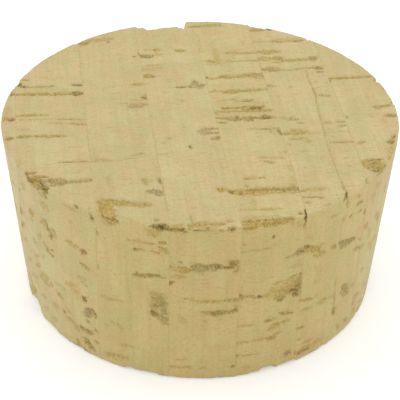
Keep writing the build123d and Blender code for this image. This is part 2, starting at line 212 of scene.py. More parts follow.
# %% Top of slab 2
TOP_MARKS["cork_slab_2"] = [
    (-36.6, 11.2, -25.4, 10.4, 1.2, 0.35, "olive", 0.95),
    (-34.0, 10.8, -28.0, 10.4, 0.6, 0.3, "ochre", 0.8),
    (-25.3, 10.6, -23.0, 10.4, 1.6, 0.5, "umber", 0.8),
    (-24.9, 9.8, -23.9, 9.6, 0.7, 0.3, "brown", 0.6),
    (-35.6, 14.3, -34.2, 13.9, 0.9, 0.4, "umber", 0.8),
    (-34.4, 13.9, -29.0, 13.8, 0.7, 0.25, "brown", 0.6),
    (-29.7, 13.9, -28.9, 13.9, 0.9, 0.3, "umber", 0.6),
    (-25.0, 14.1, -23.0, 13.8, 0.9, 0.4, "umber", 0.7),
    (-35.0, 12.6, -27.0, 12.4, 1.2, 0.05, "tan", 0.35),
    (-26.5, 10.8, -26.5, 12.6, 0.5, 0.1, "olive", 0.4),
    (-36.0, 14.6, -35.6, 15.6, 0.9, 0.6, "black", 0.8),
    (-35.4, 16.9, -34.0, 16.8, 0.6, 0.3, "brown", 0.7),
    (-36.7, 2.9, -30.4, 2.5, 0.9, 0.3, "olive", 0.85),
    (-31.8, 2.6, -30.4, 2.5, 0.9, 0.3, "brown", 0.3),
    (-36.0, 1.1, -28.5, 0.8, 0.35, 0.12, "olive", 0.6),
    (-28.8, 0.8, -22.9, 0.1, 0.45, 0.15, "brown", 0.75),
    (-31.0, -0.5, -26.0, -1.2, 0.5, 0.15, "olive", 0.5),
    (-26.4, -1.1, -22.9, -1.8, 0.7, 0.25, "brown", 0.7),
    (-36.6, -5.3, -33.6, -5.0, 1.0, 0.3, "olive", 0.95),
    (-34.2, -5.0, -27.3, -5.7, 1.1, 0.3, "ochre", 0.9),
    (-32.0, -5.2, -28.0, -5.5, 0.5, 0.3, "brown", 0.4),
    (-27.6, -5.6, -25.8, -5.8, 0.4, 0.1, "olive", 0.5),
    (-36.5, -2.5, -34.0, -2.5, 0.7, 0.1, "olive", 0.4),
    (-31.2, 17.5, -29.8, 17.2, 0.8, 0.1, "olive", 0.4),
    (-35.0, -17.6, -34.9, -19.2, 0.9, 0.4, "umber", 0.8),
    (-34.6, -18.2, -33.4, -17.9, 0.9, 0.4, "brown", 0.9),
    (-34.4, -19.4, -32.8, -20.6, 1.9, 0.5, "ochre", 0.95),
    (-33.6, -19.1, -31.2, -19.7, 0.7, 0.4, "brown", 0.8),
    (-32.6, -20.3, -32.3, -22.6, 1.2, 0.5, "umber", 0.9),
    (-31.8, -20.8, -31.5, -22.8, 0.9, 0.4, "mauve", 0.7),
    (-32.5, -22.8, -31.5, -23.8, 1.1, 0.6, "umber", 0.9),
    (-30.9, -20.9, -27.8, -21.8, 2.3, 0.5, "grey", 0.9),
    (-30.8, -22.6, -28.2, -22.4, 1.0, 0.3, "grey", 0.7),
    (-28.8, -21.4, -26.6, -21.8, 1.0, 0.4, "mauve", 0.8),
    (-27.4, -21.8, -23.0, -21.4, 1.3, 0.4, "grey", 0.7),
    (-24.2, -21.0, -22.9, -21.5, 0.8, 0.3, "brown", 0.5),
    (-29.0, -14.9, -25.0, -15.2, 0.35, 0.2, "umber", 0.85),
    (-26.5, -15.0, -22.9, -15.2, 0.35, 0.2, "umber", 0.7),
    (-28.6, -16.0, -24.6, -16.1, 0.3, 0.0, "pale", 0.5),
    (-26.4, -29.4, -26.3, -29.9, 0.7, 0.4, "umber", 0.6),
    (-24.0, -30.5, -24.0, -30.9, 0.5, 0.2, "olive", 0.6),
    (-36.2, -13.6, -36.2, -14.3, 0.4, 0.1, "mauve", 0.5),
    (-36.7, -15.0, -36.7, -15.6, 0.6, 0.3, "olive", 0.7),
]
print(len(TOP_MARKS["cork_slab_2"]), "marks on the top of", "cork_slab_2")

# %% Top of slab 3
TOP_MARKS["cork_slab_3"] = [
    (-23.3, 31.4, -23.1, 32.2, 0.9, 0.5, "umber", 0.8),
    (-22.6, 31.4, -20.8, 31.9, 1.5, 0.5, "olive", 0.9),
    (-21.8, 31.1, -20.8, 31.3, 0.6, 0.4, "brown", 0.6),
    (-21.0, 32.6, -15.4, 33.2, 1.5, 0.3, "ochre", 0.6),
    (-16.6, 32.1, -16.2, 31.4, 0.8, 0.2, "mauve", 0.5),
    (-12.5, 12.9, -10.5, 12.8, 1.2, 0.3, "olive", 0.9),
    (-11.1, 7.5, -10.1, 7.4, 1.1, 0.5, "umber", 0.6),
    (-10.4, 8.8, -10.2, 6.6, 0.5, 0.2, "brown", 0.5),
    (-15.8, 5.5, -11.4, 5.3, 0.5, 0.2, "olive", 0.7),
    (-13.6, 5.4, -10.2, 4.9, 0.8, 0.3, "brown", 0.5),
    (-14.0, 4.3, -11.4, 3.9, 1.7, 0.3, "mauve", 0.9),
    (-11.3, 4.6, -10.3, 4.6, 0.8, 0.3, "brown", 0.6),
    (-13.5, 6.6, -10.6, 6.3, 1.0, 0.1, "olive", 0.4),
    (-11.4, 24.8, -11.0, 24.7, 0.8, 0.3, "brown", 0.7),
    (-10.3, 26.6, -10.1, 25.2, 0.4, 0.2, "brown", 0.5),
    (-15.3, -14.0, -13.9, -14.0, 0.5, 0.1, "olive", 0.6),
    (-13.9, -13.7, -12.4, -13.4, 0.9, 0.2, "mauve", 0.7),
    (-22.9, -14.3, -19.5, -14.8, 0.5, 0.15, "olive", 0.6),
    (-22.9, -15.2, -18.4, -15.4, 0.35, 0.15, "brown", 0.7),
    (-17.0, -14.9, -13.8, -15.1, 0.4, 0.12, "olive", 0.7),
    (-19.8, -20.6, -19.9, -23.4, 1.1, 0.1, "grey", 0.35),
    (-13.4, -22.2, -12.9, -24.0, 1.4, 0.3, "olive", 0.7),
    (-12.6, -23.2, -11.6, -22.8, 0.8, 0.2, "olive", 0.5),
    (-10.6, -22.2, -10.1, -23.8, 1.1, 0.3, "grey", 0.8),
    (-12.8, -26.4, -10.4, -26.8, 1.4, 0.4, "mauve", 0.95),
    (-11.6, -27.4, -10.4, -27.6, 1.0, 0.3, "grey", 0.8),
    (-22.1, -28.9, -20.2, -29.2, 2.2, 0.3, "ochre", 0.95),
    (-21.8, -30.4, -20.0, -30.7, 2.4, 0.3, "ochre", 0.95),
    (-21.4, -29.0, -16.4, -29.9, 2.3, 0.3, "ochre", 0.95),
    (-21.5, -28.0, -17.5, -28.8, 0.5, 0.3, "brown", 0.8),
    (-17.5, -29.2, -12.8, -30.2, 0.5, 0.5, "brown", 0.5),
    (-16.8, -30.1, -12.9, -30.8, 1.8, 0.3, "ochre", 0.85),
    (-20.9, -29.5, -20.4, -34.6, 2.9, 0.35, "ochre", 0.95),
    (-21.9, -29.6, -21.6, -34.2, 0.6, 0.35, "brown", 0.9),
    (-19.9, -31.2, -19.8, -33.6, 0.6, 0.3, "brown", 0.35),
    (-20.6, -34.0, -19.0, -33.4, 0.6, 0.4, "brown", 0.6),
    (-19.8, -34.0, -19.4, -35.4, 0.8, 0.6, "brown", 0.9),
    (-22.7, -31.2, -22.2, -32.4, 0.9, 0.1, "olive", 0.5),
    (-18.6, -34.0, -14.6, -36.4, 1.5, 0.1, "tan", 0.5),
    (-12.6, -35.6, -11.8, -35.6, 0.7, 0.3, "olive", 0.9),
    (-17.0, -35.1, -16.6, -35.8, 0.8, 0.2, "ochre", 0.7),
    (-13.4, -37.3, -12.4, -37.5, 1.3, 0.4, "umber", 0.9),
    (-12.0, -37.0, -10.3, -37.8, 1.3, 0.5, "umber", 0.95),
    (-11.2, -38.1, -10.3, -38.5, 0.8, 0.4, "umber", 0.9),
    (-12.2, -38.2, -11.4, -38.6, 0.8, 0.3, "ochre", 0.9),
]
print(len(TOP_MARKS["cork_slab_3"]), "marks on the top of", "cork_slab_3")

# %% Top of slab 4
TOP_MARKS["cork_slab_4"] = [
    (-9.9, 24.9, -7.6, 24.3, 1.9, 0.5, "grey", 0.95),
    (1.9, 37.0, 2.8, 37.0, 0.8, 0.3, "olive", 0.9),
    (-9.3, 24.6, -7.8, 24.1, 0.9, 0.5, "brown", 0.6),
    (-8.9, 27.4, -7.2, 27.4, 1.0, 0.2, "olive", 0.5),
    (-7.0, 27.2, -5.4, 27.3, 1.2, 0.4, "ochre", 0.85),
    (-7.2, 24.9, -5.2, 25.1, 0.6, 0.3, "ochre", 0.7),
    (-6.6, 26.2, -6.2, 25.2, 1.0, 0.2, "ochre", 0.5),
    (-9.9, 16.2, -7.9, 15.9, 1.6, 0.45, "olive", 0.95),
    (-9.8, 19.2, -6.0, 19.0, 2.6, 0.2, "tan", 0.6),
    (-9.8, 20.6, -5.6, 20.6, 0.6, 0.2, "ochre", 0.7),
    (-9.8, 18.2, -8.0, 19.4, 0.6, 0.2, "ochre", 0.6),
    (-2.0, 26.4, -0.6, 26.3, 1.8, 0.35, "olive", 0.9),
    (-1.8, 28.2, -1.7, 34.6, 0.9, 0.05, "olive", 0.3),
    (-3.7, 10.9, -1.8, 10.8, 0.8, 0.4, "umber", 0.6),
    (-5.4, 10.9, -3.8, 10.9, 0.4, 0.1, "olive", 0.5),
    (-0.8, 11.2, 2.2, 11.2, 1.8, 0.4, "mauve", 0.9),
    (0.2, 13.2, 0.8, 10.2, 1.5, 0.4, "mauve", 0.8),
    (-1.2, 10.9, -0.2, 10.6, 1.2, 0.5, "brown", 0.5),
    (1.2, 9.6, 1.6, 10.6, 0.8, 0.2, "mauve", 0.6),
    (-3.0, 5.6, -3.0, 5.0, 0.5, 0.2, "olive", 0.6),
    (-6.6, 9.0, -5.9, 8.9, 0.8, 0.1, "mauve", 0.4),
    (-10.0, 0.3, -9.8, -0.1, 0.5, 0.2, "brown", 0.5),
    (0.2, -5.8, 2.8, -6.0, 0.6, 0.3, "mauve", 0.9),
    (0.2, -7.4, 2.8, -7.5, 0.7, 0.3, "mauve", 0.9),
    (-0.9, -6.8, 0.8, -6.9, 2.5, 0.2, "mauve", 0.8),
    (-0.6, -5.4, 0.8, -5.5, 0.5, 0.2, "grey", 0.7),
    (1.1, -9.6, 2.8, -9.0, 1.2, 0.35, "grey", 0.95),
    (1.8, -9.4, 2.4, -10.2, 0.8, 0.4, "brown", 0.6),
    (-3.5, -11.6, -3.3, -12.4, 0.7, 0.5, "umber", 0.7),
    (-7.0, -8.3, -7.0, -8.9, 0.9, 0.15, "grey", 0.6),
    (-8.4, -9.9, -8.2, -10.5, 0.6, 0.1, "grey", 0.45),
    (0.6, -12.2, 1.0, -12.4, 0.6, 0.1, "grey", 0.5),
    (-9.8, -14.0, -8.0, -14.1, 1.0, 0.05, "grey", 0.4),
    (0.2, -26.9, 1.3, -27.3, 1.8, 0.4, "ochre", 0.95),
    (1.9, -27.6, 2.8, -28.6, 1.0, 0.5, "brown", 0.9),
    (-10.0, -23.0, -9.9, -33.0, 0.3, 0.1, "mauve", 0.35),
    (-6.0, -34.6, -5.9, -37.4, 0.5, 0.1, "grey", 0.6),
    (-4.3, -36.9, -3.2, -36.9, 0.5, 0.3, "brown", 0.6),
    (-10.0, -38.3, -7.6, -38.5, 1.2, 0.6, "brown", 0.9),
    (-9.8, -37.6, -7.6, -37.4, 0.6, 0.3, "ochre", 0.7),
    (-6.8, -37.7, -3.4, -37.6, 1.1, 0.4, "ochre", 0.95),
    (-6.8, -38.8, -6.0, -38.4, 0.8, 0.4, "olive", 0.8),
    (-5.2, -38.6, -2.0, -38.8, 1.0, 0.2, "tan", 0.7),
    (-3.4, -38.4, -3.2, -38.9, 0.8, 0.5, "brown", 0.7),
    (-3.0, -37.6, -0.2, -37.9, 0.9, 0.4, "ochre", 0.8),
    (-2.2, -38.2, -0.4, -38.1, 0.4, 0.4, "brown", 0.5),
    (0.3, -39.3, 1.6, -39.3, 0.8, 0.4, "brown", 0.9),
    (0.2, -37.1, 1.4, -37.2, 0.9, 0.2, "olive", 0.6),
]
print(len(TOP_MARKS["cork_slab_4"]), "marks on the top of", "cork_slab_4")

# %% Top of slab 5
TOP_MARKS["cork_slab_5"] = [
    (2.8, 8.4, 6.0, 8.5, 0.8, 0.25, "olive", 0.7),
    (5.8, 8.0, 9.3, 8.0, 1.5, 0.4, "olive", 0.95),
    (8.9, 8.2, 15.0, 8.3, 1.2, 0.35, "olive", 0.85),
    (12.8, 8.4, 15.0, 8.5, 0.8, 0.3, "brown", 0.35),
    (4.4, 4.6, 6.2, 4.6, 0.6, 0.2, "olive", 0.6),
    (6.6, 4.9, 8.2, 4.9, 0.5, 0.2, "brown", 0.6),
    (7.0, 4.2, 8.6, 4.1, 0.6, 0.2, "olive", 0.6),
    (8.9, 4.1, 11.1, 4.2, 1.0, 0.4, "brown", 0.75),
    (9.7, 4.6, 9.8, 3.6, 0.4, 0.4, "umber", 0.6),
    (10.5, 4.5, 10.6, 3.7, 0.4, 0.4, "umber", 0.5),
    (12.1, 4.2, 12.4, 3.4, 0.5, 0.2, "olive", 0.5),
    (4.8, 3.0, 14.0, 2.8, 1.4, 0.1, "tan", 0.45),
    (4.6, 1.7, 9.0, 1.5, 0.9, 0.5, "brown", 0.85),
    (8.6, 1.9, 10.3, 1.8, 0.7, 0.5, "umber", 0.6),
    (10.2, 1.6, 13.1, 1.5, 1.0, 0.6, "umber", 0.9),
    (8.8, 0.9, 12.6, 0.7, 0.8, 0.4, "brown", 0.8),
    (3.0, 0.4, 6.8, 0.3, 0.8, 0.3, "brown", 0.6),
    (6.6, 0.2, 14.5, -0.1, 0.9, 0.35, "olive", 0.95),
    (3.1, 0.2, 3.4, -0.6, 0.5, 0.3, "umber", 0.6),
    (3.2, -0.9, 14.4, -1.0, 0.8, 0.1, "tan", 0.45),
    (3.0, -2.0, 7.4, -2.2, 1.0, 0.4, "mauve", 0.7),
    (4.6, -2.2, 6.8, -3.4, 1.0, 0.4, "brown", 0.6),
    (7.1, -1.8, 7.5, -3.2, 1.0, 0.5, "umber", 0.75),
    (7.8, -2.6, 10.4, -2.7, 1.4, 0.4, "brown", 0.7),
    (8.4, -3.4, 10.2, -3.6, 0.8, 0.4, "olive", 0.95),
    (10.2, -2.4, 12.4, -3.2, 0.8, 0.5, "umber", 0.6),
    (12.2, -2.2, 13.9, -2.9, 1.4, 0.6, "umber", 0.8),
    (13.6, -2.8, 15.0, -2.9, 0.7, 0.3, "brown", 0.7),
    (3.1, -3.8, 5.0, -3.9, 0.6, 0.3, "brown", 0.7),
    (2.9, 14.6, 3.4, 14.3, 1.0, 0.4, "olive", 0.9),
    (3.3, 13.8, 6.0, 13.8, 1.1, 0.3, "orange", 0.6),
    (5.9, 14.4, 8.3, 13.9, 1.5, 0.5, "brown", 0.7),
    (6.9, 15.0, 7.2, 14.0, 0.5, 0.5, "umber", 0.6),
    (8.5, 14.0, 12.0, 14.1, 1.4, 0.4, "olive", 0.8),
    (10.6, 14.9, 14.9, 14.8, 0.8, 0.4, "brown", 0.7),
    (11.8, 14.0, 14.9, 13.9, 1.4, 0.3, "grey", 0.7),
    (13.2, 13.0, 14.9, 12.8, 1.0, 0.2, "grey", 0.4),
    (3.4, 21.1, 7.0, 21.0, 1.2, 0.3, "olive", 0.75),
    (5.4, 20.4, 6.6, 20.4, 0.8, 0.2, "ochre", 0.6),
    (7.8, 20.6, 12.4, 20.5, 0.6, 0.2, "grey", 0.6),
    (12.6, 20.6, 15.0, 20.4, 0.8, 0.3, "olive", 0.9),
    (2.8, 19.8, 8.0, 19.7, 0.35, 0.12, "brown", 0.55),
    (8.4, 24.3, 11.2, 24.3, 1.5, 0.3, "olive", 0.65),
    (9.6, 22.6, 9.8, 21.4, 0.6, 0.1, "olive", 0.6),
    (10.8, 23.9, 15.0, 23.9, 0.8, 0.25, "grey", 0.8),
    (6.3, 26.6, 6.3, 19.8, 1.4, 0.1, "ochre", 0.45),
    (12.8, 29.3, 12.9, 27.4, 0.7, 0.05, "grey", 0.4),
    (2.9, 27.0, 3.0, 25.8, 0.7, 0.05, "grey", 0.35),
    (2.8, 37.0, 5.0, 37.0, 0.9, 0.3, "olive", 0.95),
    (4.8, 37.3, 9.2, 37.3, 0.8, 0.25, "olive", 0.8),
    (5.0, 36.6, 9.8, 36.5, 0.6, 0.1, "olive", 0.45),
    (8.6, -6.6, 11.0, -6.6, 0.5, 0.2, "olive", 0.6),
    (10.4, -6.9, 13.6, -7.2, 0.7, 0.25, "grey", 0.85),
    (13.2, -7.0, 15.0, -7.1, 0.5, 0.2, "brown", 0.6),
    (13.0, -7.4, 13.0, -8.6, 0.5, 0.2, "olive", 0.8),
    (14.6, -7.4, 14.9, -9.4, 0.9, 0.3, "grey", 0.95),
    (8.8, -17.1, 13.5, -17.5, 0.5, 0.2, "olive", 0.6),
    (9.6, -16.9, 10.4, -17.0, 0.5, 0.3, "brown", 0.5),
    (9.0, -18.3, 12.2, -18.2, 0.35, 0.1, "olive", 0.5),
    (9.8, -18.4, 11.8, -19.2, 0.6, 0.3, "olive", 0.9),
    (13.2, -17.4, 13.8, -17.8, 0.6, 0.2, "grey", 0.6),
    (5.2, -24.1, 9.2, -24.0, 0.7, 0.3, "ochre", 0.9),
    (5.3, -26.2, 5.6, -26.9, 0.5, 0.2, "olive", 0.9),
    (2.9, -27.9, 5.4, -27.8, 1.0, 0.35, "ochre", 0.9),
    (5.4, -27.8, 9.6, -27.6, 1.0, 0.4, "brown", 0.9),
    (9.6, -27.8, 13.0, -28.1, 1.1, 0.4, "brown", 0.8),
    (12.8, -27.9, 15.0, -28.3, 1.4, 0.5, "grey", 0.9),
    (2.9, -28.6, 5.0, -29.0, 1.3, 0.25, "orange", 0.8),
    (4.8, -28.8, 10.2, -28.8, 1.7, 0.25, "orange", 0.95),
    (10.0, -29.0, 15.0, -29.2, 1.0, 0.3, "tan", 0.85),
    (4.0, -28.1, 4.4, -28.8, 0.5, 0.6, "umber", 0.7),
    (6.2, -27.8, 6.6, -28.3, 0.6, 0.7, "umber", 0.7),
    (8.9, -27.5, 9.2, -28.1, 0.6, 0.7, "umber", 0.7),
    (12.0, -28.1, 12.3, -28.7, 0.6, 0.7, "umber", 0.7),
    (14.2, -27.2, 14.5, -28.4, 0.5, 0.5, "brown", 0.7),
    (13.6, -26.4, 14.2, -27.6, 0.7, 0.2, "grey", 0.6),
    (3.3, -33.9, 10.4, -34.2, 0.6, 0.2, "olive", 0.7),
    (7.2, -34.2, 9.0, -34.3, 0.7, 0.3, "ochre", 0.7),
    (6.1, -30.8, 6.1, -33.4, 1.0, 0.1, "ochre", 0.5),
    (3.1, -37.5, 7.4, -37.4, 0.8, 0.3, "brown", 0.95),
    (3.2, -38.4, 10.6, -38.5, 1.5, 0.3, "ochre", 0.95),
    (7.2, -37.5, 12.4, -37.3, 0.8, 0.35, "brown", 0.8),
    (3.2, -36.5, 9.8, -36.4, 0.8, 0.2, "tan", 0.7),
    (12.0, -37.2, 12.6, -37.6, 0.7, 0.4, "umber", 0.5),
    (13.7, -35.8, 14.1, -36.3, 0.9, 0.4, "brown", 0.8),
    (14.9, -35.0, 14.85, -37.7, 0.4, 0.6, "umber", 0.9),
    (14.6, -15.2, 14.7, -16.0, 0.8, 0.1, "olive", 0.6),
    (14.5, -20.2, 14.6, -22.4, 1.0, 0.05, "olive", 0.4),
    (14.3, -23.8, 14.5, -26.8, 1.2, 0.05, "olive", 0.45),
]
print(len(TOP_MARKS["cork_slab_5"]), "marks on the top of", "cork_slab_5")

# %% Top of slab 6
TOP_MARKS["cork_slab_6"] = [
    (15.1, 34.0, 18.2, 33.9, 1.2, 0.35, "ochre", 0.95),
    (18.2, 34.7, 20.0, 33.8, 0.9, 0.5, "grey", 0.95),
    (15.1, 28.6, 19.8, 28.4, 0.8, 0.2, "olive", 0.5),
    (19.4, 28.5, 25.8, 28.3, 1.3, 0.35, "olive", 0.9),
    (23.2, 28.4, 25.8, 28.3, 0.5, 0.3, "brown", 0.7),
    (20.0, 29.2, 25.2, 29.4, 1.2, 0.1, "tan", 0.7),
    (15.2, 24.2, 18.0, 23.9, 1.6, 0.3, "brown", 0.6),
    (18.0, 24.1, 19.9, 23.9, 1.6, 0.3, "olive", 0.9),
    (16.4, 23.3, 18.0, 23.1, 0.8, 0.4, "umber", 0.5),
    (15.2, 20.9, 18.0, 20.8, 2.0, 0.3, "olive", 0.7),
    (18.1, 20.9, 20.1, 20.8, 1.9, 0.3, "olive", 0.9),
    (17.8, 19.3, 20.0, 19.2, 0.8, 0.2, "ochre", 0.7),
    (20.0, 19.9, 26.2, 19.8, 1.3, 0.35, "olive", 0.85),
    (26.2, 20.3, 27.8, 20.2, 1.3, 0.45, "grey", 0.95),
    (26.0, 20.8, 27.8, 20.9, 0.5, 0.4, "brown", 0.5),
    (26.2, 19.3, 27.2, 19.2, 0.6, 0.3, "grey", 0.7),
    (15.3, 16.5, 18.2, 16.4, 1.8, 0.4, "brown", 0.65),
    (17.0, 15.6, 18.6, 15.6, 0.6, 0.4, "umber", 0.5),
    (18.2, 17.2, 19.0, 15.8, 0.8, 0.3, "ochre", 0.7),
    (19.0, 15.6, 23.6, 15.6, 0.6, 0.2, "olive", 0.7),
    (22.6, 16.1, 26.2, 16.1, 0.7, 0.25, "ochre", 0.6),
    (24.0, 16.2, 26.0, 16.2, 0.5, 0.3, "brown", 0.6),
    (26.1, 16.1, 27.9, 15.7, 1.5, 0.5, "grey", 0.95),
    (26.4, 15.9, 27.6, 15.6, 0.7, 0.5, "brown", 0.5),
    (26.4, 14.3, 28.0, 14.3, 0.9, 0.3, "grey", 0.85),
    (15.4, 9.8, 16.4, 9.2, 1.4, 0.3, "grey", 0.6),
    (16.0, 9.3, 16.9, 9.3, 0.8, 0.3, "grey", 0.7),
    (19.8, 8.7, 20.2, 8.6, 0.5, 0.2, "olive", 0.6),
    (19.8, 11.3, 20.0, 10.9, 0.5, 0.1, "olive", 0.5),
    (25.2, 4.8, 27.2, 4.5, 0.8, 0.3, "olive", 0.95),
    (25.2, 10.5, 25.7, 10.1, 0.6, 0.1, "grey", 0.5),
    (27.4, 9.8, 27.9, 9.5, 0.8, 0.1, "grey", 0.4),
    (15.6, -3.0, 17.4, -4.2, 1.2, 0.2, "olive", 0.5),
    (17.4, -3.9, 19.0, -4.1, 1.1, 0.35, "brown", 0.6),
    (17.8, -3.3, 18.4, -3.3, 0.6, 0.3, "olive", 0.7),
    (18.9, -5.6, 20.0, -5.6, 0.7, 0.2, "olive", 0.8),
    (16.4, -9.0, 19.8, -8.9, 2.2, 0.3, "orange", 0.9),
    (17.4, -9.0, 18.8, -9.6, 1.2, 0.3, "ochre", 0.7),
    (15.1, -9.2, 16.4, -9.2, 1.0, 0.3, "grey", 0.85),
    (16.2, -11.3, 19.6, -11.2, 0.8, 0.25, "ochre", 0.7),
    (19.2, -12.2, 20.2, -12.4, 1.2, 0.2, "ochre", 0.6),
    (15.7, -12.9, 15.9, -13.4, 0.6, 0.2, "grey", 0.6),
    (20.0, -9.6, 28.3, -9.6, 0.35, 0.1, "olive", 0.45),
    (24.0, -13.2, 28.3, -13.4, 0.7, 0.25, "grey", 0.75),
    (25.6, -13.4, 26.9, -13.4, 0.6, 0.25, "brown", 0.5),
    (24.2, -6.0, 25.8, -6.1, 1.2, 0.2, "grey", 0.5),
    (26.6, -5.9, 28.3, -6.0, 0.9, 0.2, "grey", 0.75),
    (26.6, -7.4, 28.2, -7.2, 1.0, 0.2, "grey", 0.75),
    (15.3, -29.0, 16.4, -29.1, 0.7, 0.3, "grey", 0.8),
    (16.2, -28.8, 19.8, -28.8, 1.3, 0.25, "tan", 0.85),
    (15.1, -31.2, 18.6, -31.3, 0.5, 0.3, "grey", 0.75),
    (18.2, -31.3, 18.9, -31.7, 0.8, 0.3, "brown", 0.6),
    (15.4, -32.8, 16.4, -33.0, 0.8, 0.2, "grey", 0.65),
    (18.6, -34.3, 19.8, -33.7, 0.5, 0.2, "olive", 0.7),
    (25.2, -19.0, 26.2, -19.0, 0.5, 0.1, "grey", 0.3),
    (25.7, -21.7, 26.1, -21.9, 0.5, 0.1, "grey", 0.5),
    (28.1, -26.4, 27.8, -28.0, 0.7, 0.2, "grey", 0.6),
    (24.3, 15.0, 24.1, 12.0, 0.45, 0.2, "olive", 0.6),
    (24.1, 12.0, 24.4, 8.0, 0.35, 0.2, "olive", 0.6),
    (24.4, 8.0, 24.5, 5.2, 0.45, 0.3, "brown", 0.5),
    (24.5, 5.2, 24.0, 1.5, 0.4, 0.2, "olive", 0.55),
    (24.0, 1.5, 23.7, -4.5, 0.4, 0.2, "olive", 0.6),
    (23.7, -4.5, 23.3, -12.0, 0.4, 0.15, "olive", 0.6),
    (23.3, -12.0, 23.1, -18.0, 0.35, 0.15, "olive", 0.6),
    (23.1, -18.0, 23.2, -25.0, 0.4, 0.15, "olive", 0.65),
    (23.2, -25.0, 23.4, -30.2, 0.4, 0.15, "olive", 0.7),
    (23.6, -30.1, 22.9, -32.8, 0.45, 0.6, "umber", 0.9),
    (25.9, -1.0, 25.7, -9.0, 0.6, 0.0, "pale", 0.5),
]
print(len(TOP_MARKS["cork_slab_6"]), "marks on the top of", "cork_slab_6")

# %% Top of slab 7
TOP_MARKS["cork_slab_7"] = [
    (28.5, 11.4, 33.0, 11.2, 1.1, 0.35, "ochre", 0.95),
    (32.6, 11.1, 37.4, 11.3, 0.9, 0.35, "ochre", 0.85),
    (35.2, 11.4, 36.8, 11.4, 0.8, 0.4, "brown", 0.6),
    (28.6, 11.7, 32.0, 11.4, 0.4, 0.3, "brown", 0.4),
    (28.5, 10.8, 28.4, 9.8, 0.6, 0.3, "grey", 0.7),
    (28.6, 17.0, 28.5, 13.0, 0.4, 0.0, "pale", 0.6),
    (28.9, -20.4, 29.4, -22.8, 1.4, 0.3, "ochre", 0.9),
    (29.2, -20.0, 32.8, -20.2, 0.6, 0.3, "brown", 0.85),
    (30.4, -21.0, 31.4, -23.4, 2.6, 0.35, "brown", 0.8),
    (31.8, -21.0, 32.4, -22.4, 1.8, 0.3, "orange", 0.85),
    (29.4, -23.2, 31.0, -24.4, 0.6, 0.4, "umber", 0.85),
    (31.4, -23.2, 31.0, -24.4, 0.6, 0.4, "brown", 0.7),
    (35.4, -0.9, 38.9, -0.6, 1.0, 0.4, "olive", 0.95),
    (36.2, -0.9, 37.2, -0.8, 0.5, 0.3, "brown", 0.5),
    (35.6, -1.6, 36.6, -1.6, 0.5, 0.3, "brown", 0.7),
    (36.9, -4.4, 39.2, -4.6, 1.3, 0.45, "ochre", 0.9),
    (37.4, -4.5, 38.8, -4.5, 0.7, 0.4, "brown", 0.6),
    (35.2, -14.2, 36.4, -14.0, 1.6, 0.5, "ochre", 0.95),
    (36.4, -13.0, 37.2, -11.8, 0.9, 0.5, "brown", 0.8),
    (35.6, -15.4, 34.0, -20.2, 1.1, 0.1, "tan", 0.85),
    (29.4, -13.9, 30.6, -13.6, 0.8, 0.3, "ochre", 0.7),
    (29.0, -4.0, 29.1, -4.6, 0.6, 0.2, "grey", 0.6),
    (33.8, -4.2, 34.0, -4.8, 0.7, 0.1, "grey", 0.35),
    (37.9, 10.0, 37.9, 9.4, 0.5, 0.3, "olive", 0.5),
    (39.0, 6.3, 39.2, 5.6, 0.6, 0.3, "grey", 0.7),
]
print(len(TOP_MARKS["cork_slab_7"]), "marks on the top of", "cork_slab_7")

# %% [markdown]
# ## Marks of the wall
#
# The wall cuts other pores of the same slabs. Near the front it runs along them, so they are
# streaks. Towards both flanks it cuts across them, so they shorten to spots.

# %% Wall of slab 1
WALL_MARKS["cork_slab_1"] = [
    (-77.0, 30.0, -75.0, 30.5, 1.2, 0.2, "grey", 0.5),
    (-80.0, 22.0, -79.0, 24.0, 1.3, 0.2, "mauve", 0.5),
    (-79.0, 15.8, -77.0, 16.8, 2.2, 0.1, "mauve", 0.5),
    (-95.0, 28.0, -94.0, 29.0, 1.4, 0.3, "brown", 0.7),
    (-88.0, 19.0, -87.0, 18.0, 1.0, 0.2, "olive", 0.6),
]
print(len(WALL_MARKS["cork_slab_1"]), "marks on the wall of", "cork_slab_1")

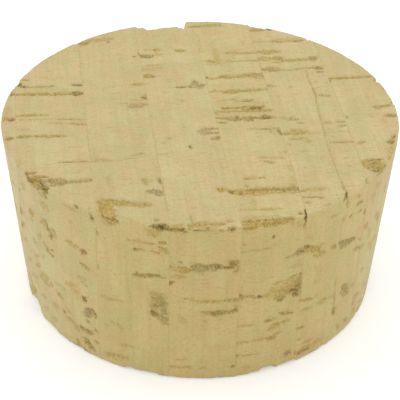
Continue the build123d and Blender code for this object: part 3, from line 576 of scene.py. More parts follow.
# %% Wall of slab 2
WALL_MARKS["cork_slab_2"] = [
    (-55.5, 37.6, -52.5, 37.6, 1.6, 0.6, "brown", 0.9),
    (-54.8, 38.0, -53.0, 37.2, 0.8, 0.5, "umber", 0.85),
    (-53.9, 36.4, -52.9, 36.2, 0.9, 0.4, "umber", 0.7),
    (-61.5, 37.8, -60.2, 37.0, 1.9, 0.5, "umber", 0.85),
    (-60.2, 37.6, -56.0, 37.4, 1.8, 0.3, "brown", 0.8),
    (-56.4, 36.2, -54.6, 35.8, 0.9, 0.2, "olive", 0.6),
    (-56.0, 33.8, -53.0, 33.6, 2.0, 0.2, "olive", 0.5),
    (-56.0, 29.8, -54.6, 29.2, 0.8, 0.4, "brown", 0.7),
    (-54.9, 30.0, -54.6, 27.6, 0.7, 0.5, "brown", 0.8),
    (-54.0, 28.0, -51.6, 27.4, 1.8, 0.4, "tan", 0.8),
    (-53.9, 27.0, -53.4, 26.2, 1.0, 0.6, "umber", 0.8),
    (-52.2, 29.0, -51.4, 28.0, 0.8, 0.5, "brown", 0.8),
    (-56.8, 22.2, -56.0, 21.8, 1.3, 0.4, "olive", 0.9),
    (-55.3, 21.8, -53.8, 21.6, 0.8, 0.4, "brown", 0.8),
    (-54.8, 22.8, -53.4, 23.2, 0.5, 0.3, "brown", 0.6),
    (-46.4, 28.2, -43.6, 27.8, 1.4, 0.3, "ochre", 0.7),
    (-44.2, 27.6, -42.4, 28.2, 0.8, 0.3, "brown", 0.4),
    (-41.6, 27.4, -40.0, 27.3, 1.3, 0.5, "umber", 0.7),
    (-42.3, 24.0, -40.0, 23.6, 0.8, 0.3, "brown", 0.6),
    (-40.4, 23.5, -39.3, 23.3, 0.6, 0.3, "olive", 0.7),
    (-43.8, 20.3, -41.4, 20.2, 1.0, 0.2, "olive", 0.6),
    (-42.8, 19.2, -41.0, 18.6, 0.8, 0.2, "grey", 0.5),
    (-43.0, 15.2, -42.2, 14.2, 1.3, 0.5, "umber", 0.75),
    (-42.2, 15.4, -41.2, 15.8, 0.6, 0.2, "olive", 0.6),
    (-43.4, 11.0, -41.6, 10.6, 1.4, 0.4, "mauve", 0.95),
    (-41.8, 12.2, -39.2, 11.8, 2.2, 0.5, "mauve", 0.95),
    (-40.0, 12.9, -39.0, 11.0, 0.8, 0.5, "brown", 0.8),
    (-43.6, 10.3, -42.0, 10.6, 0.6, 0.4, "brown", 0.6),
    (-42.6, 9.4, -41.8, 8.8, 0.9, 0.3, "brown", 0.6),
    (-54.4, 12.1, -52.4, 11.2, 1.2, 0.3, "brown", 0.6),
    (-55.0, 14.6, -50.6, 14.4, 1.0, 0.1, "olive", 0.4),
    (-52.8, 8.0, -52.0, 7.6, 1.1, 0.3, "umber", 0.8),
    (-50.4, 9.0, -49.4, 8.9, 0.7, 0.3, "brown", 0.6),
    (-49.8, 16.3, -45.6, 17.2, 1.2, 0.2, "orange", 0.6),
    (-47.0, 16.0, -44.6, 15.4, 1.0, 0.2, "ochre", 0.6),
    (-51.2, 6.8, -48.6, 6.4, 1.4, 0.3, "olive", 0.8),
    (-48.4, 6.4, -46.4, 5.0, 1.2, 0.3, "grey", 0.7),
    (-45.4, 6.6, -43.8, 5.9, 1.5, 0.4, "brown", 0.8),
    (-43.8, 6.0, -41.0, 6.2, 1.4, 0.4, "umber", 0.6),
    (-44.2, 3.6, -42.8, 2.4, 1.8, 0.4, "grey", 0.95),
    (-43.2, 2.8, -41.2, 1.4, 1.6, 0.5, "brown", 0.7),
    (-39.5, 7.9, -39.1, 6.9, 0.8, 0.2, "brown", 0.6),
    (-40.0, 4.4, -39.2, 4.2, 1.2, 0.2, "brown", 0.8),
    (-47.4, 2.4, -47.0, 1.2, 1.0, 0.2, "ochre", 0.7),
    (-45.8, 37.0, -41.6, 36.8, 0.8, 0.2, "olive", 0.5),
    (-41.8, 38.0, -41.2, 37.6, 0.7, 0.3, "brown", 0.7),
    (-44.8, 33.6, -43.8, 33.4, 0.7, 0.2, "olive", 0.5),
    (-36.9, 37.2, -36.5, 36.3, 0.8, 0.3, "umber", 0.7),
    (-64.0, 28.4, -61.6, 29.4, 1.7, 0.2, "ochre", 0.75),
    (-63.8, 26.4, -62.8, 27.2, 1.2, 0.2, "olive", 0.5),
    (-74.0, 20.6, -70.6, 23.0, 1.3, 0.2, "olive", 0.65),
    (-73.0, 24.2, -69.0, 26.2, 1.3, 0.1, "orange", 0.4),
    (-74.4, 16.8, -70.4, 18.8, 1.0, 0.1, "olive", 0.5),
    (-75.0, 27.8, -72.2, 28.8, 1.3, 0.1, "tan", 0.6),
    (-71.0, 30.8, -68.4, 32.0, 1.0, 0.1, "olive", 0.5),
    (-67.6, 33.6, -64.6, 34.6, 1.2, 0.1, "tan", 0.6),
    (-66.0, 14.2, -62.8, 15.6, 1.1, 0.2, "olive", 0.65),
    (-63.4, 12.4, -59.2, 14.0, 2.6, 0.1, "olive", 0.6),
    (-65.8, 16.6, -62.2, 18.4, 0.9, 0.1, "olive", 0.45),
    (-73.0, 12.4, -70.2, 13.8, 1.3, 0.1, "ochre", 0.45),
    (-71.6, 9.2, -66.6, 10.8, 1.6, 0.1, "mauve", 0.4),
    (-75.4, 3.4, -70.2, 5.8, 1.8, 0.2, "ochre", 0.7),
    (-78.6, 2.2, -75.0, 4.2, 1.0, 0.2, "olive", 0.6),
    (-64.8, 3.4, -62.2, 4.6, 1.6, 0.1, "orange", 0.45),
    (-60.6, 2.6, -56.6, 3.8, 1.3, 0.1, "orange", 0.4),
    (-65.8, 6.4, -62.6, 7.4, 1.0, 0.1, "grey", 0.5),
    (-57.8, 23.4, -56.2, 22.0, 1.5, 0.2, "olive", 0.7),
    (-60.8, 23.8, -58.6, 24.8, 1.3, 0.1, "olive", 0.5),
    (-57.6, 28.6, -55.4, 29.6, 1.7, 0.2, "olive", 0.6),
    (-60.4, 18.8, -58.6, 19.8, 0.9, 0.1, "brown", 0.4),
    (-64.6, 21.6, -62.6, 20.6, 1.4, 0.2, "mauve", 0.5),
    (-61.0, 12.0, -58.0, 12.4, 1.4, 0.1, "brown", 0.4),
    (-70.0, 10.0, -67.0, 8.6, 1.6, 0.2, "tan", 0.5),
    (-57.6, 13.4, -56.6, 12.6, 1.0, 0.2, "brown", 0.5),
    (-72.5, 24.6, -71.0, 26.4, 1.4, 0.2, "orange", 0.4),
    (-66.0, 33.0, -65.0, 34.0, 1.2, 0.2, "grey", 0.4),
    (-76.0, 8.0, -74.5, 5.0, 1.6, 0.3, "ochre", 0.6),
    (-58.0, 7.4, -55.4, 8.4, 1.6, 0.1, "ochre", 0.65),
    (-48.0, 0.5, -44.0, 0.4, 1.0, 0.3, "grey", 0.7),
]
print(len(WALL_MARKS["cork_slab_2"]), "marks on the wall of", "cork_slab_2")

# %% Wall of slab 3
WALL_MARKS["cork_slab_3"] = [
    (-25.2, 25.6, -22.0, 25.7, 0.9, 0.4, "brown", 0.85),
    (-23.0, 26.0, -19.4, 26.2, 1.0, 0.4, "umber", 0.6),
    (-20.0, 26.2, -17.6, 26.3, 0.9, 0.4, "umber", 0.7),
    (-17.8, 26.1, -16.2, 26.0, 0.7, 0.2, "grey", 0.6),
    (-24.6, 25.4, -24.0, 26.6, 0.5, 0.4, "umber", 0.6),
    (-19.9, 20.6, -18.2, 15.6, 2.4, 0.25, "brown", 0.5),
    (-17.6, 21.2, -16.8, 15.0, 2.0, 0.3, "grey", 0.7),
    (-20.6, 21.6, -16.2, 21.2, 1.8, 0.2, "olive", 0.7),
    (-19.8, 19.6, -16.4, 19.4, 2.4, 0.5, "brown", 0.7),
    (-20.4, 20.6, -18.2, 20.2, 0.7, 0.5, "umber", 0.85),
    (-19.9, 18.4, -16.6, 18.6, 0.8, 0.6, "umber", 0.95),
    (-17.6, 20.8, -17.0, 19.0, 0.7, 0.5, "umber", 0.9),
    (-17.2, 17.8, -16.4, 17.0, 0.8, 0.5, "umber", 0.9),
    (-20.6, 17.0, -18.8, 16.0, 1.3, 0.6, "umber", 0.9),
    (-18.6, 15.8, -16.2, 15.2, 1.0, 0.5, "umber", 0.8),
    (-18.6, 17.2, -17.2, 17.0, 0.8, 0.2, "pale", 0.5),
    (-17.6, 14.8, -15.8, 14.2, 0.9, 0.3, "grey", 0.9),
    (-20.4, 22.0, -19.2, 22.6, 0.8, 0.1, "tan", 0.5),
    (-24.8, 33.9, -18.6, 33.9, 0.6, 0.2, "olive", 0.7),
    (-20.0, 33.9, -19.0, 33.9, 0.5, 0.3, "brown", 0.5),
    (-26.4, 34.0, -25.8, 33.6, 0.7, 0.2, "brown", 0.5),
    (-17.6, 34.5, -15.8, 34.6, 0.8, 0.3, "brown", 0.7),
    (-24.6, 32.0, -23.8, 31.8, 0.8, 0.4, "umber", 0.6),
    (-24.8, 33.8, -24.4, 32.2, 0.4, 0.1, "olive", 0.5),
    (-23.4, 32.2, -21.8, 32.2, 0.5, 0.2, "olive", 0.7),
    (-20.2, 32.2, -17.6, 32.0, 0.7, 0.2, "brown", 0.6),
    (-17.4, 33.2, -15.8, 32.4, 1.5, 0.2, "olive", 0.8),
    (-17.6, 33.4, -16.2, 33.0, 0.5, 0.3, "brown", 0.4),
    (-21.2, 37.0, -20.4, 37.2, 0.9, 0.2, "olive", 0.6),
    (-20.2, 36.8, -19.0, 35.8, 1.4, 0.3, "ochre", 0.7),
    (-19.0, 36.6, -17.4, 36.4, 1.6, 0.2, "tan", 0.7),
    (-19.8, 38.0, -17.4, 37.9, 0.9, 0.4, "brown", 0.9),
    (-17.4, 38.0, -15.9, 37.9, 1.1, 0.5, "umber", 0.9),
    (-33.0, 38.0, -30.2, 37.0, 1.9, 0.6, "ochre", 0.95),
    (-33.0, 37.4, -32.6, 36.2, 0.8, 0.2, "tan", 0.6),
    (-32.0, 36.6, -30.6, 36.4, 0.6, 0.4, "brown", 0.6),
    (-29.9, 38.0, -29.6, 37.2, 0.8, 0.4, "brown", 0.7),
    (-35.4, 33.9, -35.1, 33.1, 0.7, 0.2, "brown", 0.6),
    (-36.2, 25.6, -36.3, 24.6, 0.7, 0.1, "olive", 0.5),
    (-36.0, 17.6, -34.6, 17.9, 0.8, 0.2, "olive", 0.6),
    (-34.4, 17.4, -31.4, 17.8, 0.7, 0.2, "brown", 0.5),
    (-31.2, 18.2, -28.6, 17.8, 0.7, 0.1, "olive", 0.5),
    (-33.6, 11.8, -32.4, 11.4, 0.8, 0.2, "olive", 0.5),
    (-31.4, 11.6, -30.0, 10.4, 0.9, 0.2, "olive", 0.5),
    (-36.2, 10.8, -34.6, 10.4, 0.8, 0.1, "olive", 0.4),
    (-31.2, 6.2, -26.8, 6.4, 0.9, 0.2, "olive", 0.6),
    (-36.2, 2.0, -29.2, 2.4, 1.8, 0.3, "tan", 0.85),
    (-35.6, 2.8, -28.8, 3.0, 0.6, 0.3, "brown", 0.35),
    (-26.9, 21.4, -26.9, 18.8, 0.7, 0.05, "grey", 0.45),
    (-27.2, 38.0, -27.0, 2.0, 0.5, 0.0, "olive", 0.25),
    (-21.2, 24.0, -21.1, 3.0, 0.5, 0.0, "olive", 0.25),
    (-24.6, 30.0, -24.2, 27.0, 1.6, 0.0, "tan", 0.3),
]
print(len(WALL_MARKS["cork_slab_3"]), "marks on the wall of", "cork_slab_3")

# %% Wall of slab 4
WALL_MARKS["cork_slab_4"] = [
    (-14.8, 29.0, -12.2, 28.0, 1.2, 0.3, "orange", 0.6),
    (-13.2, 28.4, -9.6, 28.3, 1.7, 0.4, "ochre", 0.85),
    (-13.4, 26.9, -11.0, 26.4, 1.0, 0.3, "ochre", 0.6),
    (-12.6, 30.4, -11.6, 30.0, 0.5, 0.3, "brown", 0.6),
    (-9.6, 30.0, -6.0, 30.0, 0.5, 0.2, "brown", 0.45),
    (-8.8, 29.2, -5.2, 29.1, 1.8, 0.5, "grey", 0.95),
    (-8.8, 28.4, -5.6, 28.2, 0.9, 0.5, "brown", 0.6),
    (-5.6, 29.2, -1.0, 29.2, 1.8, 0.4, "grey", 0.95),
    (-4.4, 29.4, -1.4, 29.0, 1.0, 0.6, "umber", 0.6),
    (-7.2, 27.6, -6.0, 27.4, 0.6, 0.2, "olive", 0.5),
    (-0.8, 28.9, 2.4, 28.7, 0.6, 0.5, "umber", 0.9),
    (0.8, 30.3, 3.6, 30.2, 0.8, 0.3, "brown", 0.7),
    (1.2, 29.7, 3.0, 29.2, 1.0, 0.5, "umber", 0.7),
    (2.2, 27.8, 3.4, 27.8, 0.8, 0.3, "olive", 0.8),
    (3.4, 30.0, 3.5, 28.2, 0.6, 0.3, "brown", 0.6),
    (-15.2, 24.6, -14.0, 25.2, 0.9, 0.3, "brown", 0.8),
    (-14.6, 26.6, -13.8, 26.0, 1.0, 0.1, "olive", 0.4),
    (-12.6, 20.4, -10.8, 20.3, 0.7, 0.1, "tan", 0.6),
    (-11.0, 21.3, -7.6, 20.9, 0.7, 0.2, "ochre", 0.8),
    (-8.8, 20.6, 0.6, 20.6, 0.8, 0.2, "ochre", 0.85),
    (0.2, 20.7, 4.1, 20.6, 0.9, 0.3, "brown", 0.7),
    (-5.6, 17.6, -2.4, 17.6, 1.0, 0.4, "brown", 0.75),
    (-2.8, 17.5, -0.4, 17.2, 1.8, 0.5, "umber", 0.65),
    (-0.6, 17.8, 1.8, 17.4, 1.0, 0.4, "brown", 0.8),
    (2.0, 17.8, 4.0, 17.9, 1.1, 0.4, "umber", 0.65),
    (-6.4, 18.0, -5.0, 17.6, 0.6, 0.2, "olive", 0.6),
    (3.2, 19.2, 3.7, 18.4, 0.8, 0.2, "olive", 0.6),
    (-5.4, 15.6, -4.8, 15.2, 0.6, 0.1, "olive", 0.6),
    (-1.2, 16.4, -0.8, 15.8, 0.6, 0.1, "olive", 0.6),
    (-12.4, 16.8, -11.2, 15.0, 1.3, 0.1, "grey", 0.45),
    (-13.2, 4.9, -10.0, 5.0, 0.6, 0.2, "olive", 0.6),
    (-15.2, 2.7, -11.6, 2.8, 0.9, 0.2, "ochre", 0.6),
    (-11.4, 3.0, -9.0, 3.1, 0.8, 0.2, "ochre", 0.8),
    (-6.2, 2.8, -4.6, 2.9, 0.6, 0.2, "ochre", 0.7),
    (3.2, 2.8, 4.1, 2.8, 0.8, 0.3, "brown", 0.7),
    (-5.0, 9.4, -3.6, 8.2, 1.2, 0.0, "tan", 0.4),
    (0.4, 37.9, 2.2, 37.9, 0.7, 0.4, "brown", 0.85),
    (-15.4, 37.8, -10.4, 37.6, 1.0, 0.5, "ochre", 0.8),
    (-10.4, 38.0, -1.0, 37.9, 0.7, 0.3, "tan", 0.8),
    (2.6, 22.6, 3.6, 22.4, 0.8, 0.1, "tan", 0.5),
    (0.8, 26.4, 0.9, 18.6, 0.4, 0.0, "olive", 0.35),
    (2.0, 27.2, 2.1, 14.6, 0.4, 0.0, "olive", 0.35),
    (-10.6, 16.0, -10.2, 2.0, 0.5, 0.0, "olive", 0.25),
]
print(len(WALL_MARKS["cork_slab_4"]), "marks on the wall of", "cork_slab_4")

# %% Wall of slab 5
WALL_MARKS["cork_slab_5"] = [
    (4.3, 32.4, 6.4, 32.4, 0.6, 0.2, "brown", 0.6),
    (6.4, 32.4, 12.2, 32.3, 0.5, 0.15, "olive", 0.65),
    (12.7, 35.1, 12.9, 34.7, 0.6, 0.5, "umber", 0.9),
    (4.5, 34.2, 5.0, 33.8, 0.5, 0.2, "olive", 0.6),
    (4.3, 21.8, 5.0, 20.6, 1.2, 0.3, "brown", 0.8),
    (4.8, 21.2, 8.8, 20.9, 0.7, 0.25, "brown", 0.6),
    (9.8, 20.6, 10.6, 20.4, 0.8, 0.6, "black", 0.85),
    (8.2, 20.2, 9.8, 20.6, 0.5, 0.3, "olive", 0.6),
    (6.6, 19.8, 7.0, 19.4, 0.7, 0.1, "olive", 0.5),
    (9.0, 21.9, 10.4, 22.4, 1.0, 0.05, "tan", 0.5),
    (11.4, 20.4, 17.0, 20.8, 1.6, 0.3, "ochre", 0.7),
    (13.4, 21.6, 18.2, 22.4, 1.6, 0.25, "tan", 0.8),
    (14.0, 22.8, 17.4, 23.2, 0.7, 0.2, "olive", 0.8),
    (16.6, 20.2, 20.8, 21.6, 2.6, 0.3, "brown", 0.6),
    (18.0, 22.8, 22.3, 22.8, 2.0, 0.2, "olive", 0.75),
    (19.4, 23.8, 22.2, 23.6, 0.6, 0.3, "brown", 0.5),
    (21.2, 21.8, 22.4, 20.4, 1.8, 0.4, "brown", 0.8),
    (15.0, 19.2, 18.2, 18.8, 1.0, 0.4, "brown", 0.7),
    (16.2, 18.4, 17.4, 18.4, 0.9, 0.4, "umber", 0.8),
    (18.8, 20.0, 21.0, 19.8, 0.9, 0.6, "umber", 0.85),
    (20.2, 20.3, 22.4, 19.2, 0.8, 0.7, "umber", 0.9),
    (19.0, 19.4, 20.6, 19.2, 0.5, 0.2, "brown", 0.7),
    (20.8, 19.0, 22.6, 18.2, 0.9, 0.6, "umber", 0.75),
    (12.8, 19.8, 15.4, 20.0, 0.8, 0.2, "tan", 0.8),
    (17.0, 29.0, 20.2, 29.0, 0.7, 0.2, "grey", 0.6),
    (19.8, 29.4, 22.4, 29.2, 1.6, 0.4, "grey", 0.9),
    (20.6, 30.2, 22.4, 30.0, 0.6, 0.3, "brown", 0.6),
    (19.8, 26.4, 22.2, 25.8, 1.2, 0.2, "tan", 0.8),
    (21.0, 27.6, 21.6, 27.0, 0.7, 0.2, "tan", 0.6),
    (4.2, 13.6, 9.0, 13.5, 0.5, 0.15, "olive", 0.7),
    (12.4, 13.6, 14.0, 13.7, 0.9, 0.35, "umber", 0.6),
    (14.0, 13.9, 16.2, 13.9, 0.6, 0.2, "brown", 0.6),
    (17.2, 15.0, 19.4, 14.2, 0.9, 0.35, "brown", 0.8),
    (18.6, 14.4, 21.4, 14.0, 0.6, 0.35, "umber", 0.6),
    (18.0, 14.6, 20.0, 14.8, 0.5, 0.3, "olive", 0.7),
    (14.4, 11.2, 17.6, 12.0, 1.7, 0.3, "ochre", 0.8),
    (16.4, 12.0, 20.2, 12.4, 0.8, 0.3, "ochre", 0.9),
    (15.2, 10.8, 16.6, 11.4, 0.9, 0.1, "tan", 0.6),
    (19.0, 12.6, 20.2, 12.2, 0.5, 0.3, "brown", 0.5),
    (4.4, 9.1, 5.4, 9.0, 0.6, 0.2, "brown", 0.7),
    (5.2, 9.1, 8.0, 9.0, 0.5, 0.2, "olive", 0.7),
    (9.4, 9.1, 14.0, 8.9, 0.7, 0.2, "olive", 0.8),
    (13.4, 8.8, 16.2, 8.6, 1.1, 0.35, "brown", 0.75),
    (15.8, 9.4, 18.4, 9.8, 0.6, 0.2, "brown", 0.6),
    (11.0, 11.4, 12.4, 11.2, 0.8, 0.0, "tan", 0.4),
    (4.4, 5.7, 5.4, 5.3, 0.9, 0.3, "brown", 0.75),
    (5.2, 5.4, 11.6, 5.3, 0.5, 0.15, "olive", 0.7),
    (4.4, 4.6, 4.5, 3.4, 0.5, 0.1, "olive", 0.5),
    (20.6, 3.1, 22.4, 2.7, 1.5, 0.3, "mauve", 0.9),
    (7.0, 2.0, 9.0, 1.4, 1.4, 0.1, "olive", 0.4),
    (4.3, 38.0, 18.0, 38.0, 1.4, 0.25, "ochre", 0.95),
    (4.3, 37.4, 13.0, 37.5, 0.5, 0.15, "ochre", 0.5),
    (17.4, 37.4, 18.4, 36.8, 0.9, 0.2, "tan", 0.7),
    (19.6, 37.2, 20.4, 35.2, 1.2, 0.1, "tan", 0.6),
    (22.1, 38.0, 22.0, 36.5, 0.4, 0.5, "umber", 0.85),
    (21.8, 36.4, 21.8, 35.0, 0.5, 0.4, "olive", 0.7),
    (22.5, 24.0, 22.5, 18.0, 0.6, 0.4, "umber", 0.7),
    (18.6, 33.4, 19.4, 33.0, 0.8, 0.1, "tan", 0.5),
]
print(len(WALL_MARKS["cork_slab_5"]), "marks on the wall of", "cork_slab_5")

# %% Wall of slab 6
WALL_MARKS["cork_slab_6"] = [
    (22.8, 30.4, 24.4, 29.6, 1.1, 0.5, "umber", 0.8),
    (23.0, 29.2, 24.6, 28.6, 1.0, 0.3, "orange", 0.8),
    (24.2, 29.8, 26.2, 29.2, 0.8, 0.4, "brown", 0.8),
    (25.0, 29.0, 28.2, 28.2, 1.4, 0.3, "ochre", 0.95),
    (27.0, 29.4, 29.4, 28.9, 0.8, 0.2, "tan", 0.8),
    (26.6, 27.2, 30.2, 26.8, 1.5, 0.3, "olive", 0.9),
    (32.8, 27.4, 34.4, 26.6, 1.2, 0.3, "olive", 0.85),
    (35.8, 27.2, 38.4, 26.4, 1.2, 0.4, "grey", 0.85),
    (36.6, 26.0, 40.2, 25.4, 1.5, 0.4, "grey", 0.95),
    (38.4, 26.8, 41.0, 26.0, 1.0, 0.4, "mauve", 0.8),
    (40.4, 26.0, 42.8, 25.6, 1.4, 0.4, "grey", 0.95),
    (36.8, 25.2, 37.8, 23.8, 0.6, 0.1, "tan", 0.6),
    (30.8, 35.2, 32.6, 34.9, 0.9, 0.2, "olive", 0.7),
    (35.4, 33.2, 36.4, 32.6, 0.9, 0.2, "olive", 0.6),
    (38.6, 32.8, 39.6, 32.2, 0.9, 0.25, "grey", 0.7),
    (40.8, 36.8, 41.8, 36.2, 0.8, 0.3, "olive", 0.8),
    (41.2, 34.8, 43.6, 34.2, 1.2, 0.3, "olive", 0.75),
    (42.6, 32.4, 44.0, 32.2, 0.8, 0.25, "olive", 0.75),
    (45.4, 31.4, 46.8, 30.4, 1.2, 0.2, "olive", 0.55),
    (44.4, 22.6, 47.4, 21.4, 1.3, 0.3, "grey", 0.8),
    (45.4, 24.6, 47.2, 23.8, 0.9, 0.2, "olive", 0.5),
    (22.8, 16.9, 24.8, 16.3, 0.7, 0.2, "ochre", 0.7),
    (25.0, 16.3, 28.0, 15.7, 0.8, 0.3, "brown", 0.6),
    (28.6, 16.2, 31.0, 15.8, 0.5, 0.1, "olive", 0.5),
    (24.4, 13.6, 28.6, 13.3, 0.9, 0.2, "olive", 0.65),
    (30.8, 13.7, 33.8, 13.6, 1.3, 0.25, "olive", 0.8),
    (35.2, 13.4, 37.2, 13.2, 0.8, 0.1, "olive", 0.5),
    (22.8, 9.0, 26.2, 8.8, 0.9, 0.3, "brown", 0.65),
    (25.2, 1.5, 29.8, 1.7, 0.9, 0.4, "umber", 0.7),
    (25.6, 2.2, 30.0, 2.6, 1.2, 0.3, "ochre", 0.8),
    (31.0, 2.4, 34.4, 2.6, 2.0, 0.2, "tan", 0.9),
    (26.8, 4.2, 31.0, 4.0, 1.0, 0.2, "olive", 0.7),
    (24.6, 5.8, 25.8, 5.6, 0.9, 0.2, "olive", 0.6),
    (22.8, 2.6, 24.4, 2.3, 1.5, 0.3, "brown", 0.85),
    (31.2, 8.4, 34.2, 7.8, 0.8, 0.1, "tan", 0.6),
    (41.2, 14.2, 43.4, 13.2, 1.5, 0.3, "brown", 0.6),
    (41.4, 12.8, 44.4, 12.0, 2.3, 0.4, "mauve", 0.85),
    (42.4, 11.4, 45.6, 10.8, 1.0, 0.3, "grey", 0.85),
    (43.2, 13.0, 44.8, 11.6, 0.7, 0.4, "brown", 0.5),
    (27.6, 24.2, 29.4, 21.6, 1.4, 0.05, "tan", 0.5),
    (27.6, 20.0, 31.0, 19.6, 1.1, 0.05, "tan", 0.5),
    (36.0, 38.0, 37.0, 35.6, 0.6, 0.3, "olive", 0.7),
    (37.2, 18.2, 37.6, 15.6, 0.7, 0.2, "olive", 0.6),
    (37.7, 14.4, 38.6, 10.0, 0.5, 0.25, "brown", 0.6),
    (38.6, 9.6, 39.2, 7.6, 1.2, 0.4, "brown", 0.75),
    (42.2, 3.6, 43.4, 1.8, 0.9, 0.2, "ochre", 0.6),
    (22.6, 24.0, 23.4, 17.8, 0.5, 0.2, "grey", 0.5),
    (23.2, 33.0, 25.4, 31.4, 1.2, 0.1, "orange", 0.35),
    (23.6, 32.4, 24.4, 32.0, 0.7, 0.2, "tan", 0.7),
    (46.0, 3.2, 48.2, 2.2, 1.2, 0.2, "ochre", 0.7),
    (46.4, 12.4, 48.2, 11.6, 1.4, 0.1, "mauve", 0.5),
]
print(len(WALL_MARKS["cork_slab_6"]), "marks on the wall of", "cork_slab_6")

# %% Wall of slab 7
WALL_MARKS["cork_slab_7"] = [
    (48.4, 6.8, 50.4, 5.4, 1.4, 0.35, "brown", 0.85),
    (47.2, 7.6, 49.0, 6.6, 0.7, 0.3, "brown", 0.5),
    (51.0, 7.0, 53.6, 5.6, 1.3, 0.1, "tan", 0.55),
    (50.8, 38.0, 56.0, 37.8, 1.2, 0.3, "ochre", 0.75),
    (51.6, 13.8, 54.4, 12.8, 1.0, 0.2, "olive", 0.45),
    (48.0, 26.8, 50.0, 25.8, 1.5, 0.2, "brown", 0.5),
    (48.4, 21.4, 50.6, 20.8, 1.3, 0.1, "olive", 0.55),
    (51.6, 24.4, 54.0, 21.6, 1.6, 0.1, "orange", 0.4),
    (54.2, 19.6, 58.0, 17.8, 1.7, 0.1, "orange", 0.45),
    (57.8, 19.8, 60.6, 17.6, 1.0, 0.1, "olive", 0.4),
    (59.0, 19.2, 63.4, 16.8, 1.2, 0.1, "mauve", 0.4),
    (50.2, 7.6, 54.2, 6.4, 1.5, 0.2, "ochre", 0.7),
    (51.6, 3.6, 54.0, 2.0, 1.2, 0.1, "olive", 0.5),
    (55.2, 4.0, 59.4, 2.4, 1.1, 0.1, "olive", 0.5),
    (58.2, 7.6, 61.2, 5.4, 1.1, 0.1, "olive", 0.4),
    (49.0, 33.6, 51.6, 32.8, 1.2, 0.1, "mauve", 0.4),
    (50.6, 35.6, 54.0, 34.4, 1.3, 0.1, "olive", 0.35),
    (56.4, 26.2, 60.2, 23.0, 1.6, 0.2, "olive", 0.55),
    (50.0, 32.2, 52.0, 30.6, 1.0, 0.1, "tan", 0.4),
    (60.6, 31.0, 61.8, 29.6, 1.2, 0.2, "mauve", 0.45),
    (57.0, 17.6, 58.6, 16.0, 1.4, 0.2, "orange", 0.35),
    (66.0, 22.0, 67.0, 20.6, 1.3, 0.2, "grey", 0.45),
    (71.0, 31.0, 72.6, 29.0, 1.8, 0.4, "brown", 0.6),
    (78.8, 34.2, 81.2, 33.4, 1.6, 0.4, "brown", 0.7),
    (79.0, 31.4, 80.8, 30.8, 1.4, 0.3, "mauve", 0.6),
]
print(len(WALL_MARKS["cork_slab_7"]), "marks on the wall of", "cork_slab_7")

# %% [markdown]
# ## The marks that the photograph can't show
#
# The back wall, the small end and the far flanks are the same cork, so they carry the same kind of
# marks. They are drawn at random from a fixed seed. Only their direction is a rule: a pore runs
# along X, so it is a streak where the surface runs along X too, and a short spot where the surface
# cuts across it.

# %% Random pores for the hidden sides
HIDDEN_SEED = 29
HIDDEN_TONES = ("olive", "ochre", "brown", "umber", "tan", "grey", "mauve")
HIDDEN_FROM, HIDDEN_TO = 66, 284
STRINGS_TRIED = 100
PATCH_TONES = ("ochre", "brown", "olive")
PATCH_FROM, PATCH_TO = 105, 255
PATCHES_TRIED = 16
BOTTOM_PORES_PER_MM = 3.2


def hidden_pore(chance, room, flatness):
    """Length along X, width, depth, stain and strength of one hidden pore."""
    length = chance.uniform(0.8, 5.5) * flatness + chance.uniform(0.3, 0.9)
    return (min(length, room), chance.uniform(0.4, 1.5), chance.uniform(0.15, 0.5),
            str(chance.choice(HIDDEN_TONES)), chance.uniform(0.5, 0.95))


def pore_string(left, right, chance):
    """One to four pores of the wall, one behind the other at nearly one height."""
    angle, z = chance.uniform(HIDDEN_FROM, HIDDEN_TO), chance.uniform(1.0, HEIGHT - 1.0)
    rows = []
    for _ in range(chance.integers(1, 5)):
        x = MIDDLE_RADIUS * math.sin(math.radians(angle))
        cosine = math.cos(math.radians(angle))
        if not left < x < right or angle > HIDDEN_TO:
            break
        room = (right - x) if cosine > 0 else (x - left)
        length, *look = hidden_pore(chance, room, abs(cosine))
        turn = math.degrees(length / MIDDLE_RADIUS)
        rows.append((angle, z, angle + turn, z + chance.uniform(-0.3, 0.3), *look))
        angle += turn + chance.uniform(0.3, 2.5)
        z += chance.uniform(-0.5, 0.5)
        z += (1 - abs(cosine)) * chance.uniform(-3, 3)
        z = min(max(z, 1), HEIGHT - 1)
    return rows


def woody_patch(left, right, chance):
    """A broad stain of the back wall, or nothing, with a dark pore along its upper edge that is
    partly painted shade of the pit's upper wall.
    """
    angle, z = chance.uniform(PATCH_FROM, PATCH_TO), chance.uniform(3.0, HEIGHT - 2.0)
    x = MIDDLE_RADIUS * math.sin(math.radians(angle))
    if not left + 3 < x < right:
        return []
    end, tone = angle + chance.uniform(2.0, 4.0), str(chance.choice(PATCH_TONES))
    # The umber row along the upper edge is a dark pore and painted shade of the pit's upper wall.
    return [(angle, z, end, z, chance.uniform(1.6, 2.6), 0.3, tone, 0.9),
            (angle + 0.3, z + 0.7, end, z + 0.8, 0.5, 0.4, "umber", 0.8)]


def hidden_wall_rows(left, right, chance):
    """Marks of the wall from the right flank round the back to the left flank, for one slab."""
    rows = []
    for kind, tries in ((pore_string, STRINGS_TRIED), (woody_patch, PATCHES_TRIED)):
        for _ in range(tries):
            rows += kind(left, right, chance)
    return rows


def hidden_bottom_rows(left, right, chance):
    """Pores of the small end, for one slab."""
    rows = []
    for _ in range(int((right - left) * BOTTOM_PORES_PER_MM)):
        x, y = chance.uniform(left, right), chance.uniform(-BOTTOM_RADIUS, BOTTOM_RADIUS)
        length, *look = hidden_pore(chance, right - x, 1)
        if math.hypot(x, y) < BOTTOM_RADIUS:
            rows.append((x, y, x + length, y + chance.uniform(-0.4, 0.4), *look))
    return rows


# %% [markdown]
# ## Worn and chipped rims
#
# The corners of cork don't stay sharp. Handling rounds them a little everywhere, and now and then
# a crumb breaks out where a pore meets the rim. Each corner is therefore rolled over an arc whose
# size changes round the rim. A worn arc bulges outward, and a chip scoops inward.

